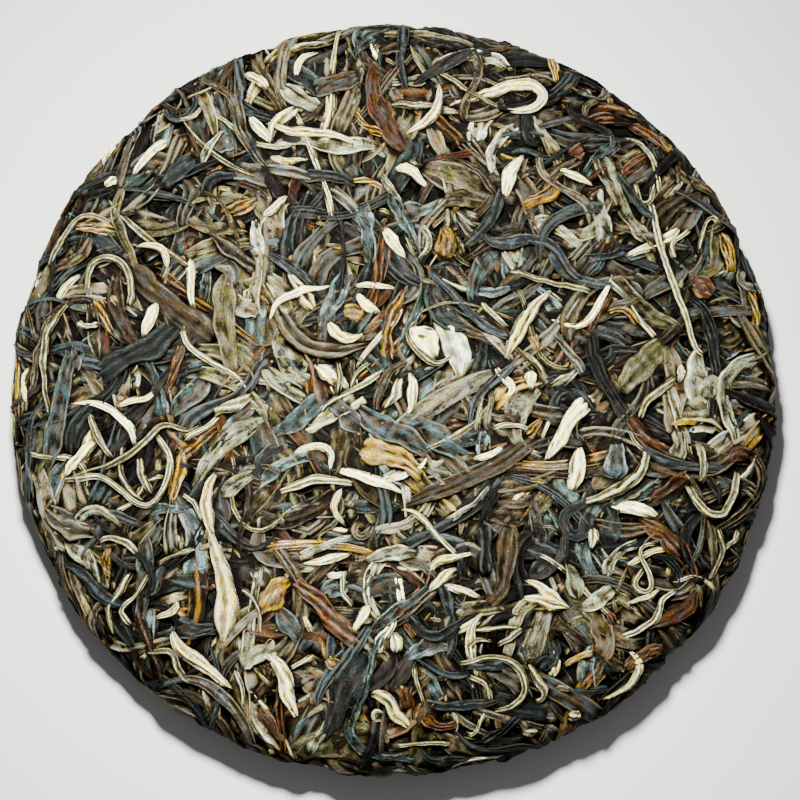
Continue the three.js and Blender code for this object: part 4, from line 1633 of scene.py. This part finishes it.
class TEACAKE_OT_core(bpy.types.Operator):
    """Turn the core that carries the leaves, near-black as painted shade in the gaps between them"""

    bl_idname = "tea_cake.core"
    bl_label = "Build Core"

    def execute(self, context):
        surface = Surface(context.scene.tea_cake_body)
        sides = CORE_SIDES
        rings = np.linspace(0, surface.SAMPLES - 1, CORE_RINGS).astype(int)[1:-1]
        angle = np.linspace(0, math.tau, sides, endpoint=False)
        line, out = surface.line[rings], surface.out[rings]
        across = line[:, :1]
        ripple = CORE_RIPPLES[0] * np.sin(angle[None] * CORE_WAVES[0] + across)
        ripple = ripple * np.sin(across * RIPPLE_PACES[0] + RIPPLE_PHASE)
        ripple = ripple + CORE_RIPPLES[1] * np.sin(angle[None] * CORE_WAVES[1] - across * RIPPLE_PACES[1])
        drop = CORE_SINK - ripple * np.clip(across / RIPPLE_RADIUS, 0, 1)
        r = across - out[:, :1] * drop
        z = line[:, 1:] - out[:, 1:] * drop
        points = np.stack([r * np.cos(angle), r * np.sin(angle), z], axis=-1).reshape(-1, 3)
        poles = [(0, 0, surface.line[0, 1] - CORE_SINK), (0, 0, surface.line[-1, 1] + CORE_SINK)]
        count = len(rings)
        faces = []
        for first in range(0, (count - 1) * sides, sides):
            for j in range(sides):
                here, after = first + j, first + (j + 1) % sides
                faces.append((here, here + sides, after + sides, after))
        crown, dimple = count * sides, count * sides + 1
        last = (count - 1) * sides
        faces += [(crown, j, (j + 1) % sides) for j in range(sides)]
        faces += [(last + j, dimple, last + (j + 1) % sides) for j in range(sides)]
        mesh = bpy.data.meshes.new("pressed_core")
        mesh.from_pydata((np.vstack([points, poles]) * MM).tolist(), [], faces)
        mesh.validate()
        mesh.shade_smooth()
        add_piece("pressed_core", mesh, core_material())
        return {"FINISHED"}


class TEACAKE_OT_leaves(bpy.types.Operator):
    """Lay all leaves, buds, stems and bits on the core, and join each kind to one piece"""

    bl_idname = "tea_cake.leaves"
    bl_label = "Lay Leaves"

    def execute(self, context):
        settings = context.scene.tea_cake_leaves
        surface = Surface(context.scene.tea_cake_body)
        chance = random.Random(settings.seed)
        pile = Pile(surface, settings.pile_height / MM, settings.foot_pile_height / MM)
        layer = Layer(surface, pile, chance)
        kinds = {name: Leafage(name, look) for name, look in KINDS.items()}
        bits = Leafage("broken_bits", BROKEN_BITS)
        drift = Drift(chance)
        lay_by_rule(layer, kinds, drift, settings.bed_count, 0, BED_RINGS, PLAIN_TOP, BED_PRESS)
        lay_bits(layer, bits, settings.bit_count // 2, BED_PRESS)
        lay_gaps(layer, kinds, drift, settings.gap_rounds)
        lay_by_rule(layer, kinds, drift, settings.cover_count, 1, COVER_RINGS, FINE_TOP, COVER_PRESS)
        lay_bits(layer, bits, settings.bit_count // 2, COVER_PRESS)
        for styles, count in zip(((), ("blade", "twisted"), ("bud", "stem")), settings.stray_counts):
            lay_face(layer, kinds, styles)
            lay_strays(layer, kinds, drift, count)
        pile.settle()
        group = leaf_skin_group()
        for leafage in (*kinds.values(), bits):
            material = leaf_material(leafage.name, leafage.look, group)
            add_piece(leafage.name, leafage.build(pile), material)
        return {"FINISHED"}


def aimed(obj, target):
    """Turns a light or the camera to a target."""
    obj.rotation_euler = (Vector(target) - obj.location).to_track_quat("-Z", "Y").to_euler()


def add_light(name, target, power, place, size, tint, spread):
    """Adds a round lamp."""
    light = bpy.data.lights.new(name, "AREA")
    light.shape = "DISK"
    light.spread = spread
    light.size = size
    light.energy = power
    light.color = tint
    obj = bpy.data.objects.new(name, light)
    obj.location = place
    aimed(obj, target)
    bpy.context.scene.collection.objects.link(obj)


class TEACAKE_OT_stage(bpy.types.Operator):
    """Add the floor, the light and the camera"""

    bl_idname = "tea_cake.stage"
    bl_label = "Set Stage"

    def execute(self, context):
        scene = context.scene
        stage = scene.tea_cake_stage
        mesh = bpy.data.meshes.new("floor")
        corners = [(FLOOR_HALF * x, FLOOR_HALF * y, 0) for x, y in ((-1, -1), (1, -1), (1, 1), (-1, 1))]
        mesh.from_pydata(corners, [], [(0, 1, 2, 3)])
        material, inputs, _ = blank_material("floor")
        inputs["Base Color"].default_value = FLOOR_COLOUR
        inputs["Roughness"].default_value = FLOOR_ROUGHNESS
        mesh.materials.append(material)
        floor = bpy.data.objects.new("floor", mesh)
        scene.collection.objects.link(floor)

        target = Vector(VIEW_TARGET) * MM
        add_light("key", target + Vector(KEY_SHIFT), stage.key_power, **KEY_LIGHT)
        add_light("fill", target, stage.fill_power, **FILL_LIGHT)
        world = bpy.data.worlds.new("studio")
        world.use_nodes = True
        background = world.node_tree.nodes["Background"]
        background.inputs["Color"].default_value = SKY_COLOUR
        background.inputs["Strength"].default_value = stage.sky
        scene.world = world

        camera = bpy.data.cameras.new("camera")
        camera.lens = stage.lens
        camera.sensor_width = SENSOR_WIDTH
        camera.clip_start = NEAREST_SEEN
        obj = bpy.data.objects.new("camera", camera)
        way = Vector((0, -math.cos(stage.elevation), math.sin(stage.elevation)))
        obj.location = target + way * stage.distance
        aimed(obj, target)
        scene.collection.objects.link(obj)
        scene.camera = obj
        return {"FINISHED"}


class TEACAKE_PT_panel(bpy.types.Panel):
    """Sizes of the cake and buttons that build it."""

    bl_label = "Tea Cake"
    bl_idname = "TEACAKE_PT_panel"
    bl_space_type = "VIEW_3D"
    bl_region_type = "UI"
    bl_category = "Tea Cake"

    def draw(self, context):
        scene = context.scene
        for label, group in (
            ("Body", scene.tea_cake_body),
            ("Leaves", scene.tea_cake_leaves),
            ("Stage", scene.tea_cake_stage),
        ):
            box = self.layout.box()
            box.label(text=label)
            for name in group.__annotations__:
                box.prop(group, name)
        for operator in OPERATORS:
            self.layout.operator(operator.bl_idname)


GROUPS = {"tea_cake_body": TeaCakeBody, "tea_cake_leaves": TeaCakeLeaves, "tea_cake_stage": TeaCakeStage}
OPERATORS = (TEACAKE_OT_core, TEACAKE_OT_leaves, TEACAKE_OT_stage)
CLASSES = (*GROUPS.values(), *OPERATORS, TEACAKE_PT_panel)


def register():
    for cls in CLASSES:
        bpy.utils.register_class(cls)
    for name, group in GROUPS.items():
        setattr(bpy.types.Scene, name, bpy.props.PointerProperty(type=group))


def unregister():
    for name in GROUPS:
        delattr(bpy.types.Scene, name)
    for cls in reversed(CLASSES):
        bpy.utils.unregister_class(cls)


def main():
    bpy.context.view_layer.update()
    register()
    bpy.ops.tea_cake.core()
    bpy.ops.tea_cake.leaves()
    bpy.ops.tea_cake.stage()


if __name__ == "__main__":
    main()
